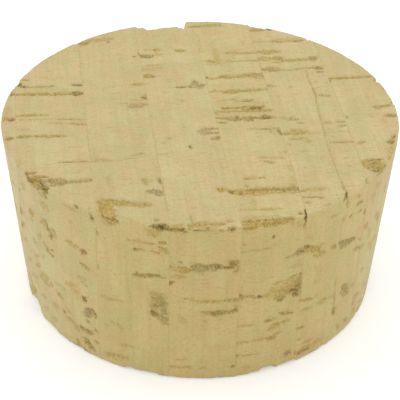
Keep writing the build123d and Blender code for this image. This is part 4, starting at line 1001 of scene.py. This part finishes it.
# %% Chips round the rims: angle from, angle to, size, and how far it is scooped out
TOP_CHIPS = [
    (172.0, 177.0, 0.3, 0.4),
    (177.4, 193.0, 2.4, 1.0),
    (177.4, 182.0, 3.1, 1.0),
    (192.0, 194.6, 1.0, 0.6),
    (213.6, 217.4, 0.4, 0.6),
    (151.0, 158.0, 0.8, 0.3),
    (135.6, 137.6, 1.0, 0.8),
    (102.2, 105.0, 0.9, 0.6),
    (89.0, 92.6, 0.9, 0.8),
    (66.0, 76.0, 0.9, 0.3),
    (244.4, 250.6, 0.5, 0.5),
    (-61.0, -52.0, 1.2, 0.5),
    (-33.4, -29.2, 0.9, 0.6),
    (-19.6, -15.8, 1.2, 0.8),
    (-15.6, -9.4, 0.8, 0.6),
    (0.4, 2.4, 1.2, 1.0),
    (4.2, 18.0, 0.9, 0.7),
    (51.0, 56.0, 0.9, 0.6),
]
BOTTOM_CHIPS = [
    (-79.5, -68.6, 2.5, 0.6),
    (-66.0, -57.0, 0.5, 0.3),
    (-49.6, -45.0, 0.5, 0.3),
    (-31.0, -18.6, 0.7, 0.3),
    (8.0, 12.6, 0.5, 0.3),
    (11.4, 18.6, 1.1, 0.5),
    (17.6, 25.6, 0.7, 0.4),
    (34.0, 38.0, 0.5, 0.3),
    (68.0, 82.0, 1.0, 0.4),
    (140.0, 150.0, 0.7, 0.4),
    (176.0, 186.0, 0.8, 0.5),
    (200.0, 206.0, 0.6, 0.4),
    (236.0, 248.0, 0.9, 0.4),
]
print(len(TOP_CHIPS), "chips of the upper rim,", len(BOTTOM_CHIPS), "of the lower rim")

# %% How far the rims are worn, round the plug
LATTICE = 64
ALL_POSITIVE = 1000
LEAST_WEAR = 0.05
WAVY_WEAR = 0.18
ROUGH_WEAR = 0.12
ROUGH_SCOOP = 0.35
CHIP_RAMP = 1.1
TOP_RIM_SEED, BOTTOM_RIM_SEED = 11, 12


def grain(points, size, seed):
    """Smooth noise from 0 to 1, with bumps about size across, at each of the points."""
    lattice = np.random.default_rng(seed).random((LATTICE, LATTICE, LATTICE))
    place = points / size + ALL_POSITIVE
    cell = np.floor(place).astype(int)
    share = place - cell
    share = share * share * (3 - 2 * share)
    total = np.zeros(len(points))
    for corner in itertools.product((0, 1), repeat=3):
        weight = np.prod(np.where(corner, share, 1 - share), axis=1)
        total += weight * lattice[tuple(((cell + corner) % LATTICE).T)]
    return total


def rim_wear(points, angle, chips, seed):
    """Size of the worn corner, and how far it is scooped out, for each point."""
    rough = grain(points, 0.9, seed)
    size = LEAST_WEAR + WAVY_WEAR * grain(points, 4.0, seed + 1) + ROUGH_WEAR * rough
    scoop = ROUGH_SCOOP * rough
    for begin, end, chip_size, chip_scoop in chips:
        offset = (angle - begin) % 360
        inside = np.minimum(offset, end - begin - offset)
        part = np.clip(inside / CHIP_RAMP + 0.8 * (rough - 0.5), 0, 1)
        size = np.maximum(size, part * chip_size * (0.8 + 0.4 * rough))
        scoop = np.maximum(scoop, part * chip_scoop)
    return size, scoop


def rolled_corner(inset, drop, size, scoop):
    """Where a point near a corner goes: how far in from the wall, how far down from the end.

    The third value is the way it faces, from 0 degrees on the flat end to 90 on the wall.
    """
    on_wall = 45 + 45 * np.clip(drop / size, 0, 1)
    on_end = 45 - 45 * np.clip(inset / size, 0, 1)
    turn = np.where(drop > 0, on_wall, on_end)
    sine, cosine = np.sin(np.radians(turn)), np.cos(np.radians(turn))
    new_in = size * ((1 - sine) * (1 - scoop) + cosine * scoop)
    new_down = size * ((1 - cosine) * (1 - scoop) + sine * scoop)
    touched = (inset < size) & (drop < size)
    return (np.where(touched, new_in, inset), np.where(touched, new_down, drop),
            np.where(touched, turn, 90 * (drop > 0)))


# %% [markdown]
# ## Laying the marks
#
# Each pore could be cut out with a boolean, but hundreds of small cuts are slow and leave poor
# faces. Here every point of a slab is looked up on flat maps of the surface instead: the top as a
# plane, the wall unrolled, and the bottom as a plane. The maps run a little way round the corner,
# so a pore that reaches the rim carries on over it. A mark pushes the points under it inward, and
# leaves three values behind for the material: the stain's colour, the distance from its border,
# and its strength.

# %% Flat maps of the surface, and the marks on them
MAP_REACH = 4
ON_END = 1e-3
TINY = 1e-6
CLEAR_OF_MARKS = -2.0
SLIMMER_ENDS = 0.5
RAGGEDNESS = 0.7
PIT_ROUNDING = 0.85
STAIN_FADE = 0.25


class Surface:
    """The points of one slab's skin, their places on the maps, and what the marks leave there."""

    def __init__(self, points):
        radius, z = np.hypot(points[:, 0], points[:, 1]), points[:, 2]
        on_top, on_bottom = z > HEIGHT - ON_END, z < ON_END
        self.points = points
        self.upper = z > HEIGHT / 2
        self.angle = np.degrees(np.arctan2(points[:, 0], -points[:, 1]))
        self.outward = points[:, :2] / np.maximum(radius, TINY)[:, None]
        self.wall_radius = radius_at(1 - z / HEIGHT)
        self.top_inset = np.where(on_top, TOP_RADIUS - radius, 0)
        self.bottom_inset = np.where(on_bottom, BOTTOM_RADIUS - radius, 0)

        top_reach = np.where(on_top, radius, TOP_RADIUS + HEIGHT - z)
        bottom_reach = np.where(on_bottom, radius, BOTTOM_RADIUS + z)
        height = z + self.top_inset - self.bottom_inset
        on_wall = (self.top_inset < MAP_REACH) & (self.bottom_inset < MAP_REACH)
        self.maps = {
            "top": (self.outward * top_reach[:, None], z > HEIGHT - MAP_REACH),
            "front": (np.stack([self.angle * MM_PER_DEGREE, height], axis=1), on_wall),
            "back": (np.stack([self.angle % 360 * MM_PER_DEGREE, height], axis=1), on_wall),
            "bottom": (self.outward * bottom_reach[:, None], z < MAP_REACH),
        }
        self.wobble = grain(points, 0.8, 3) + 0.5 * grain(points, 0.35, 4) - 0.75
        self.rough = grain(points, (0.9, 0.5, 0.5), 5)
        self.hollow, self.strength, self.weight = np.zeros((3, len(points)))
        self.edge = np.full(len(points), CLEAR_OF_MARKS)
        self.stain = np.zeros((len(points), 4))

    def lay(self, side, rows):
        """Lays rows of marks on the map of one side."""
        flat, zone = self.maps[side]
        for x0, y0, x1, y1, width, depth, tone, strength in rows:
            start, end = np.array((x0, y0)), np.array((x1, y1))
            low, high = np.minimum(start, end) - width - 1, np.maximum(start, end) + width + 1
            near = np.flatnonzero(zone & np.all((flat > low) & (flat < high), axis=1))
            if not len(near):
                continue
            run, offset = end - start, flat[near] - start
            share = np.clip(offset @ run / max(run @ run, 1e-9), 0, 1)
            gap = np.linalg.norm(offset - share[:, None] * run, axis=1)
            slim = 1 - SLIMMER_ENDS * np.abs(2 * share - 1) ** 3
            half = 0.5 * width * slim * (1 + RAGGEDNESS * self.wobble[near])
            pit = np.clip(1 - (gap / np.maximum(half, 0.05)) ** 2, 0, 1) ** PIT_ROUNDING
            deep = depth * pit * (0.55 + 0.9 * self.rough[near])
            self.hollow[near] = np.maximum(self.hollow[near], deep)

            edge = half - gap
            pull = strength * np.clip(edge / STAIN_FADE + 0.6, 0.001, 1) ** 2
            self.stain[near] += pull[:, None] * np.array(STAINS[tone])
            self.weight[near] += pull
            stronger = edge > self.edge[near]
            self.edge[near] = np.maximum(edge, self.edge[near])
            self.strength[near] = np.where(stronger, strength, self.strength[near])


def unrolled(rows):
    """Wall rows with their angles turned into millimetres round the wall."""
    return [(a0 * MM_PER_DEGREE, z0, a1 * MM_PER_DEGREE, z1, *look)
            for a0, z0, a1, z1, *look in rows]


def lay_marks(name, surface, chance):
    """Lays the marks of one slab, the listed ones and then the hidden ones."""
    left, right = SLAB_LEFT[name], SLAB_RIGHT[name]
    surface.lay("top", TOP_MARKS[name])
    surface.lay("front", unrolled(WALL_MARKS[name]))
    surface.lay("back", unrolled(hidden_wall_rows(left, right, chance)))
    surface.lay("bottom", hidden_bottom_rows(left, right, chance))


# %% [markdown]
# ## Dressing one slab
#
# The rims, the pores and a fine relief now move the points. No point leaves the space between its
# own two glue lines, so the slabs never overlap. The glue lines themselves are hairline valleys,
# and no two slabs are sanded to quite the same level.

# %% The worn, pitted points of a slab
SLAB_LEVEL_LOW, SLAB_LEVEL_HIGH = -0.012, 0.006
COARSE_RELIEF, FINE_RELIEF = 0.09, 0.05
SEAM_DEPTH = 0.02
SEAM_WIDTH = 0.02
ON_SEAM = 1e-4
SEAM_ROOM = 1e-3
FLANK_SHEEN_POWER = 3


def worn_rims(surface):
    """How far in and how high the worn rims put each point, and how far it is tilted outward."""
    points, angle, z = surface.points, surface.angle, surface.points[:, 2]
    top_in, top_down, top_turn = rolled_corner(
        surface.top_inset, HEIGHT - z, *rim_wear(points, angle, TOP_CHIPS, TOP_RIM_SEED))
    low_in, low_up, low_turn = rolled_corner(
        surface.bottom_inset, z, *rim_wear(points, angle, BOTTOM_CHIPS, BOTTOM_RIM_SEED))
    return (np.where(surface.upper, top_in, low_in),
            np.where(surface.upper, HEIGHT - top_down, low_up),
            np.radians(np.where(surface.upper, top_turn, low_turn)))


def dressed_points(name, surface, level):
    """The points of a slab after its wear, its pores and its relief, and three masks."""
    left, right, points = SLAB_LEFT[name], SLAB_RIGHT[name], surface.points
    inset, z, tilt = worn_rims(surface)
    coarse = COARSE_RELIEF * (grain(points, (2.4, 1.1, 1.1), 6) - 0.5)
    fine = FINE_RELIEF * (grain(points, 0.45, 7) - 0.5)
    push = level + (coarse + fine) - surface.hollow
    seam_gap = np.minimum(points[:, 0] - left, right - points[:, 0])
    push -= SEAM_DEPTH * (seam_gap < SEAM_WIDTH)
    radius = surface.wall_radius - inset + push * np.sin(tilt)
    z = z + push * np.cos(tilt) * np.where(surface.upper, 1, -1)
    moved = np.concatenate([surface.outward * radius[:, None], z[:, None]], axis=1)

    inside = np.clip(moved[:, 0], left + SEAM_ROOM, right - SEAM_ROOM)
    moved[:, 0] = np.where(seam_gap < ON_SEAM, points[:, 0], inside)
    # Where the wall faces along X, on the flanks: the mask where the material paints a sheen, a
    # paler straw.
    bark_face = np.sin(tilt) * np.abs(surface.outward[:, 0]) ** FLANK_SHEEN_POWER
    return moved, {"seam": seam_gap, "end_face": np.cos(tilt), "bark_face": bark_face}


# %% [markdown]
# ## One slab as a mesh
#
# Each slab is a strip cut from the skin between its glue lines. The strip alone would look right
# while the stopper is whole, but it is an open shell. So once its points have moved, flat faces
# close it along the glue, and it is a solid piece like the one it replaces.

# %% From the skin to a closed slab
CUT_SNAP = 0.02
NO_CUT_WITHIN = 0.1
ON_CUT = 1e-7
UNMARKED = 1e-5


def strip_of_skin(name):
    """The part of the skin between the glue lines of one slab."""
    bm = skin.copy()
    for x, side in ((SLAB_LEFT[name], -1), (SLAB_RIGHT[name], 1)):
        if abs(x) <= TOP_RADIUS - NO_CUT_WITHIN:
            whole = bm.verts[:] + bm.edges[:] + bm.faces[:]
            bmesh.ops.bisect_plane(bm, geom=whole, dist=CUT_SNAP, plane_co=(x, 0, 0),
                                   plane_no=(side, 0, 0), use_snap_center=True, clear_outer=True)
    mesh = bpy.data.meshes.new(name + "_bark")
    bm.to_mesh(mesh)
    bm.free()
    return mesh


def store_values(mesh, surface, masks):
    """Keeps the colour of the stains and the other values on the points, for the material."""
    colour = surface.stain / np.maximum(surface.weight, TINY)[:, None]
    colour = np.where(surface.weight[:, None] > UNMARKED, colour, STAINS["tan"])
    mesh.attributes.new("stain", "FLOAT_COLOR", "POINT").data.foreach_set("color", colour.ravel())
    for label, values in {"edge": surface.edge, "strength": surface.strength, **masks}.items():
        mesh.attributes.new(label, "FLOAT", "POINT").data.foreach_set("value", values)


def close_along_glue(mesh, name):
    """Closes a slab with a flat, sharp-edged face at each of its glue lines."""
    bm = bmesh.new()
    bm.from_mesh(mesh)
    for face in bm.faces:
        face.smooth = True
    for x in (SLAB_LEFT[name] * MM, SLAB_RIGHT[name] * MM):
        loop = [e for e in bm.edges
                if e.is_boundary and all(abs(v.co.x - x) < ON_CUT for v in e.verts)]
        if loop:
            cap = bmesh.ops.contextual_create(bm, geom=loop)["faces"]
            for part in (*loop, *cap):
                part.smooth = False
            bmesh.ops.triangulate(bm, faces=cap)
    bmesh.ops.recalc_face_normals(bm, faces=bm.faces)
    bm.to_mesh(mesh)
    bm.free()


def slab_mesh(name):
    """One dressed slab."""
    mesh = strip_of_skin(name)
    points = np.empty(len(mesh.vertices) * 3)
    mesh.vertices.foreach_get("co", points)
    surface = Surface(points.reshape(-1, 3))
    chance = np.random.default_rng(HIDDEN_SEED + SLABS.index(name))
    lay_marks(name, surface, chance)
    level = chance.uniform(SLAB_LEVEL_LOW, SLAB_LEVEL_HIGH)
    moved, masks = dressed_points(name, surface, level)
    mesh.vertices.foreach_set("co", (moved * MM).ravel())
    store_values(mesh, surface, masks)
    close_along_glue(mesh, name)
    return mesh


# %% [markdown]
# ## The cork itself
#
# A cork surface is thousands of tiny sliced cells, so it has no shine, and its colour is never
# even. The material adds, from coarse to fine: soft clouds, growth layers across the bark, short
# dashes and threads along the pores, and dark specks. Each part is a node group, so that all seven
# slabs share one recipe and differ only in a few numbers, as slabs from different boards do.

# %% Small helpers for node trees


def node(tree, kind, **values):
    """A node, with its settings as keywords and its inputs under the key inputs."""
    made = tree.nodes.new(kind)
    inputs = values.pop("inputs", {})
    for key, value in values.items():
        setattr(made, key, value)
    for key, value in inputs.items():
        if isinstance(value, bpy.types.NodeSocket):
            tree.links.new(value, made.inputs[key])
        else:
            made.inputs[key].default_value = value
    return made


def group(name, inputs, outputs):
    """An empty node group with its sockets, and the node inside that brings its inputs."""
    tree = bpy.data.node_groups.new(name, "ShaderNodeTree")
    for label, kind in inputs.items():
        tree.interface.new_socket(name=label, in_out="INPUT", socket_type="NodeSocket" + kind)
    for label in outputs:
        tree.interface.new_socket(name=label, in_out="OUTPUT", socket_type="NodeSocketFloat")
    return tree, node(tree, "NodeGroupInput")


def maths(tree, operation, *terms):
    """The output of a maths node."""
    made = node(tree, "ShaderNodeMath", operation=operation, inputs=dict(enumerate(terms)))
    return made.outputs[0]


def ramp(tree, value, low, high, out_low=0.0, out_high=1.0):
    """A smooth step of value between low and high."""
    return node(tree, "ShaderNodeMapRange", interpolation_type="SMOOTHSTEP",
                inputs={0: value, 1: low, 2: high, 3: out_low, 4: out_high}).outputs[0]


def noise(tree, place, stretch, detail=2.0, roughness=0.5, seed=0.0):
    """Noise whose grain is stretched along the axes."""
    moved = node(tree, "ShaderNodeVectorMath", operation="MULTIPLY",
                 inputs={0: place, 1: stretch})
    shifted = node(tree, "ShaderNodeVectorMath", operation="ADD",
                   inputs={0: moved.outputs[0], 1: (seed, seed * 0.37, -seed)})
    made = node(tree, "ShaderNodeTexNoise", inputs={
        "Vector": shifted.outputs[0], "Scale": 1.0, "Detail": detail, "Roughness": roughness})
    return made.outputs["Fac"]


def blend(tree, share, first, second, mode="MIX"):
    """One colour mixed over another."""
    return node(tree, "ShaderNodeMix", data_type="RGBA", blend_type=mode,
                inputs={0: share, 6: first, 7: second}).outputs[2]


# %% Shared node groups
GROWTH, given = group("Growth layers", {"Place": "Vector"}, ("Layers", "Clouds", "Hue"))
place = given.outputs["Place"]
years = noise(GROWTH, place, (0.9, 0.035, 0.035), 1.0)
lines = noise(GROWTH, place, (3.6, 0.09, 0.09), 2.0, 0.6, 7.0)
node(GROWTH, "NodeGroupOutput", inputs={
    "Layers": maths(GROWTH, "ADD", maths(GROWTH, "MULTIPLY", years, 0.5),
                    maths(GROWTH, "MULTIPLY", lines, 0.5)),
    "Clouds": noise(GROWTH, place, (0.16, 0.12, 0.12), 2.0, 0.5, 3.0),
    "Hue": noise(GROWTH, place, (0.22, 0.16, 0.16), 2.0, 0.55, 23.0)})

DASHES, given = group("Dashes and specks", {"Place": "Vector"},
                      ("Dashes", "Specks", "Threads", "Fine"))
place = given.outputs["Place"]
dashes = noise(DASHES, place, (0.45, 1.7, 1.7), 3.0, 0.6, 11.0)
specks = noise(DASHES, place, (1.5, 2.3, 2.3), 2.0, 0.5, 5.0)
threads = noise(DASHES, place, (0.32, 3.3, 3.3), 1.0, 0.5, 17.0)
node(DASHES, "NodeGroupOutput", inputs={
    "Dashes": ramp(DASHES, dashes, 0.35, 0.7),
    "Specks": ramp(DASHES, specks, 0.62, 0.76),
    "Threads": ramp(DASHES, threads, 0.6, 0.72),
    "Fine": noise(DASHES, place, (3.2, 5.0, 5.0), 3.0, 0.7, 2.0)})

STAINED, given = group("Ragged stain", {"Place": "Vector", "Edge": "Float", "Strength": "Float"},
                       ("Cover", "Grains"))
ragged = noise(STAINED, given.outputs["Place"], (1.7, 2.3, 2.3), 3.0, 0.6, 9.0)
crumbs = noise(STAINED, given.outputs["Place"], (3.2, 2.0, 2.0), 2.0, 0.6, 4.0)


def spread(noise_value, amount):
    """The distance from a stain's border, made ragged by noise."""
    swing = maths(STAINED, "MULTIPLY", maths(STAINED, "SUBTRACT", noise_value, 0.5), amount)
    return maths(STAINED, "ADD", given.outputs["Edge"], swing)


core = maths(STAINED, "MULTIPLY", ramp(STAINED, spread(ragged, 1.5), -0.1, 0.22), 0.72)
halo = maths(STAINED, "MULTIPLY", ramp(STAINED, spread(crumbs, 2.4), -0.75, 0.15), 0.28)
cover = maths(STAINED, "MULTIPLY", maths(STAINED, "ADD", core, halo), given.outputs["Strength"])
node(STAINED, "NodeGroupOutput", inputs={
    "Cover": cover, "Grains": ramp(STAINED, crumbs, 0.38, 0.62)})
print("node groups:", [tree.name for tree in bpy.data.node_groups])

# %% [markdown]
# ## One material for each slab
#
# The wall is deeper in colour than the end faces. Where it faces along X, on the flanks, it is
# painted
# paler: a painted sheen, the whitening of the wall seen at a grazing angle. Over this ground come
# the shared grain, the stains with their crumbs, and a trace of dark glue.

# %% One cork material for each slab
STRAW = {
    "cork_slab_1": seen(206, 188, 140),
    "cork_slab_2": seen(206, 189, 138),
    "cork_slab_3": seen(204, 187, 136),
    "cork_slab_4": seen(207, 190, 139),
    "cork_slab_5": seen(206, 189, 135),
    "cork_slab_6": seen(206, 190, 139),
    "cork_slab_7": seen(207, 190, 139),
}
WALL_STRAW = seen(206, 185, 124)
# A paler straw for the flanks: a painted sheen of the wall seen at a grazing angle.
FLANK_SHEEN_STRAW = seen(215, 202, 157)
DEEP = seen(176, 152, 98)
SPECK = seen(162, 138, 88)
GLUE = seen(160, 136, 88)
GREENISH = (0.96, 1.02, 1.01, 1)
ROSY = (1.03, 0.975, 1.01, 1)
DARK_CRUMBS = (0.75, 0.70, 0.50, 1)
ROUGHNESS = 0.92
BUMP_HEIGHT = 0.08 * MM
BARK_SPACING = 31.0


def ground(tree, name, value, growth, marks):
    """The colour of the cork of one slab, without its stains."""
    # Towards the flanks the wall turns to the paler straw, a painted sheen.
    wall = blend(tree, value["bark_face"], WALL_STRAW, FLANK_SHEEN_STRAW)
    colour = blend(tree, value["end_face"], wall, STRAW[name])
    for cover, tint in (
            (ramp(tree, growth["Layers"], 0.62, 0.38, 0.0, 0.17), DEEP),
            (ramp(tree, growth["Clouds"], 0.6, 0.4, 0.0, 0.16), DEEP),
            (maths(tree, "MULTIPLY", marks["Dashes"], 0.07), DEEP),
            (maths(tree, "MULTIPLY", marks["Threads"], 0.4), DEEP),
            (maths(tree, "MULTIPLY", marks["Specks"], 0.5), SPECK)):
        colour = blend(tree, cover, colour, tint)
    hue = blend(tree, ramp(tree, growth["Hue"], 0.32, 0.68), GREENISH, ROSY)
    colour = blend(tree, 1.0, colour, hue, "MULTIPLY")
    fine = ramp(tree, marks["Fine"], 0.35, 0.65, 0.92, 1.07)
    grey = node(tree, "ShaderNodeCombineColor", inputs={0: fine, 1: fine, 2: fine})
    return blend(tree, 1.0, colour, grey.outputs[0], "MULTIPLY")


def cork(name):
    """The cork of one slab, read from its place in millimetres and the marks laid on it."""
    material = bpy.data.materials.new(name.replace("slab", "bark"))
    material.use_nodes = True
    tree = material.node_tree
    tree.nodes.clear()
    coords = node(tree, "ShaderNodeTexCoord").outputs["Object"]
    place = node(tree, "ShaderNodeVectorMath", operation="SCALE",
                 inputs={0: coords, "Scale": 1 / MM}).outputs[0]
    shift = BARK_SPACING * (SLABS.index(name) + 1)
    place = node(tree, "ShaderNodeVectorMath", operation="ADD",
                 inputs={0: place, 1: (shift, 0, 0)}).outputs[0]
    value = {label: node(tree, "ShaderNodeAttribute", attribute_name=label).outputs["Fac"]
             for label in ("edge", "strength", "seam", "end_face", "bark_face")}
    stain = node(tree, "ShaderNodeAttribute", attribute_name="stain").outputs["Color"]
    growth = node(tree, "ShaderNodeGroup", node_tree=GROWTH, inputs={"Place": place}).outputs
    marks = node(tree, "ShaderNodeGroup", node_tree=DASHES, inputs={"Place": place}).outputs
    ragged = node(tree, "ShaderNodeGroup", node_tree=STAINED, inputs={
        "Place": place, "Edge": value["edge"], "Strength": value["strength"]}).outputs

    colour = ground(tree, name, value, growth, marks)
    dark = blend(tree, 1.0, stain, DARK_CRUMBS, "MULTIPLY")
    light = blend(tree, 0.28, stain, colour)
    colour = blend(tree, ragged["Cover"], colour, blend(tree, ragged["Grains"], light, dark))
    patchy = ramp(tree, growth["Clouds"], 0.4, 0.6, 0.0, 0.22)
    glue = maths(tree, "MULTIPLY", ramp(tree, value["seam"], 0.28, 0.02), patchy)
    colour = blend(tree, glue, colour, GLUE)

    height = maths(tree, "ADD", maths(tree, "MULTIPLY", marks["Fine"], 0.5),
                   maths(tree, "MULTIPLY", marks["Specks"], -0.6))
    crumbly = maths(tree, "MULTIPLY", ragged["Cover"], ragged["Grains"])
    height = maths(tree, "SUBTRACT", height, crumbly)
    bump = node(tree, "ShaderNodeBump", inputs={
        "Strength": 0.5, "Distance": BUMP_HEIGHT, "Height": height})
    shader = node(tree, "ShaderNodeBsdfPrincipled", inputs={
        "Base Color": colour, "Roughness": ROUGHNESS, "Specular IOR Level": 0.3,
        "Normal": bump.outputs[0]})
    node(tree, "ShaderNodeOutputMaterial", inputs={"Surface": shader.outputs[0]})
    return material


# %% Seven dressed slabs
for name in SLABS:
    mesh = slab_mesh(name)
    mesh.materials.append(cork(name))
    piece = bpy.data.objects.new(name + "_bark", mesh)
    bpy.context.scene.collection.objects.link(piece)
    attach(piece, "root")
    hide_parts(name)
    print(piece.name, sum(len(face.vertices) - 2 for face in mesh.polygons), "triangles")
skin.free()

# %% [markdown]
# ## Light, floor and camera
#
# The stopper was photographed on pure white with very soft light from above. An even white world
# gives that softness, and one large lamp above and a little behind makes the upper edges of the
# pores dark, as they are in the photograph. The floor shows as white to the camera, but it lights
# the cork only as a plain white table would.

# %% World and lamp
WORLD_LIGHT = 0.92
SIDE_LIGHT = 0.35
LAMP_WATTS = 0.12
LAMP_SIZE = 0.35
LAMP_PLACE = Vector((-0.04, 0.14, 0.46))
LAMP_AIM = Vector((0, 0, 0.02))
WHITE = (1, 1, 1, 1)

scene = bpy.context.scene
world = bpy.data.worlds.new("White room")
scene.world = world
world.use_nodes = True
tree = world.node_tree
tree.nodes.clear()
rays = node(tree, "ShaderNodeLightPath").outputs
shown = maths(tree, "MAXIMUM", rays["Is Camera Ray"],
              maths(tree, "MAXIMUM", rays["Is Glossy Ray"], rays["Is Transmission Ray"]))
direction = node(tree, "ShaderNodeTexCoord").outputs["Generated"]
sideways = node(tree, "ShaderNodeSeparateXYZ", inputs={0: direction}).outputs["X"]
from_sides = maths(tree, "MULTIPLY", maths(tree, "MULTIPLY", sideways, sideways), SIDE_LIGHT)
strength = maths(tree, "ADD", WORLD_LIGHT, from_sides)
light = node(tree, "ShaderNodeBackground", inputs={"Color": WHITE, "Strength": strength})
white = node(tree, "ShaderNodeBackground", inputs={"Color": WHITE, "Strength": 1.0})
mixed = node(tree, "ShaderNodeMixShader",
             inputs={0: shown, 1: light.outputs[0], 2: white.outputs[0]})
node(tree, "ShaderNodeOutputWorld", inputs={"Surface": mixed.outputs[0]})

lamp_data = bpy.data.lights.new("Soft lamp", "AREA")
lamp_data.shape = "DISK"
lamp_data.size = LAMP_SIZE
lamp_data.energy = LAMP_WATTS
lamp = bpy.data.objects.new("Soft lamp", lamp_data)
lamp.location = LAMP_PLACE
lamp.rotation_mode = "QUATERNION"
lamp.rotation_quaternion = (LAMP_AIM - LAMP_PLACE).to_track_quat("-Z", "Y")
scene.collection.objects.link(lamp)
print("a white world and a lamp of", LAMP_WATTS, "W")

# %% White floor
FLOOR_RADIUS = 1.5
FLOOR_LEVEL = -0.0002
FLOOR_PAPER = (0.86, 0.86, 0.86, 1)
FLOOR_GLOW = 0.3

floor_bm = bmesh.new()
bmesh.ops.create_circle(floor_bm, cap_ends=True, segments=96, radius=FLOOR_RADIUS)
floor_mesh = bpy.data.meshes.new("Floor")
floor_bm.to_mesh(floor_mesh)
floor_bm.free()
floor = bpy.data.objects.new("Floor", floor_mesh)
floor.location.z = FLOOR_LEVEL
scene.collection.objects.link(floor)
floor_material = bpy.data.materials.new("White floor")
floor_material.use_nodes = True
tree = floor_material.node_tree
tree.nodes.clear()
rays = node(tree, "ShaderNodeLightPath").outputs
shown = maths(tree, "MAXIMUM", rays["Is Camera Ray"], rays["Is Glossy Ray"])
paper = node(tree, "ShaderNodeBsdfDiffuse", inputs={"Color": FLOOR_PAPER})
glow = node(tree, "ShaderNodeEmission", inputs={
    "Color": WHITE, "Strength": maths(tree, "MULTIPLY", shown, FLOOR_GLOW)})
both = node(tree, "ShaderNodeAddShader", inputs={0: paper.outputs[0], 1: glow.outputs[0]})
node(tree, "ShaderNodeOutputMaterial", inputs={"Surface": both.outputs[0]})
floor_mesh.materials.append(floor_material)
print("a floor", 2 * FLOOR_RADIUS, "m across")

# %% Camera, as the photograph was taken
ELEVATION, TURN, ROLL = math.radians(34.89), math.radians(7.3), math.radians(0.80)
DISTANCE = 290.7 * MM
AIM_HEIGHT = 16.94 * MM
LENS = 125.0
SHIFT_X = 0.00225

level_part = math.cos(ELEVATION)
forward = Vector((level_part * math.sin(TURN), level_part * math.cos(TURN), -math.sin(ELEVATION)))
camera_data = bpy.data.cameras.new("Camera")
camera_data.sensor_width = 36
camera_data.lens = LENS
camera_data.shift_x = SHIFT_X
camera_data.clip_start = 0.01
camera = bpy.data.objects.new("Camera", camera_data)
camera.location = Vector((0, 0, AIM_HEIGHT)) - forward * DISTANCE
camera.rotation_mode = "QUATERNION"
roll = Quaternion((0, 0, 1), ROLL)
camera.rotation_quaternion = forward.to_track_quat("-Z", "Y") @ roll
scene.collection.objects.link(camera)
scene.camera = camera
scene.view_settings.view_transform = "Standard"
print("the camera is at", tuple(camera.location))
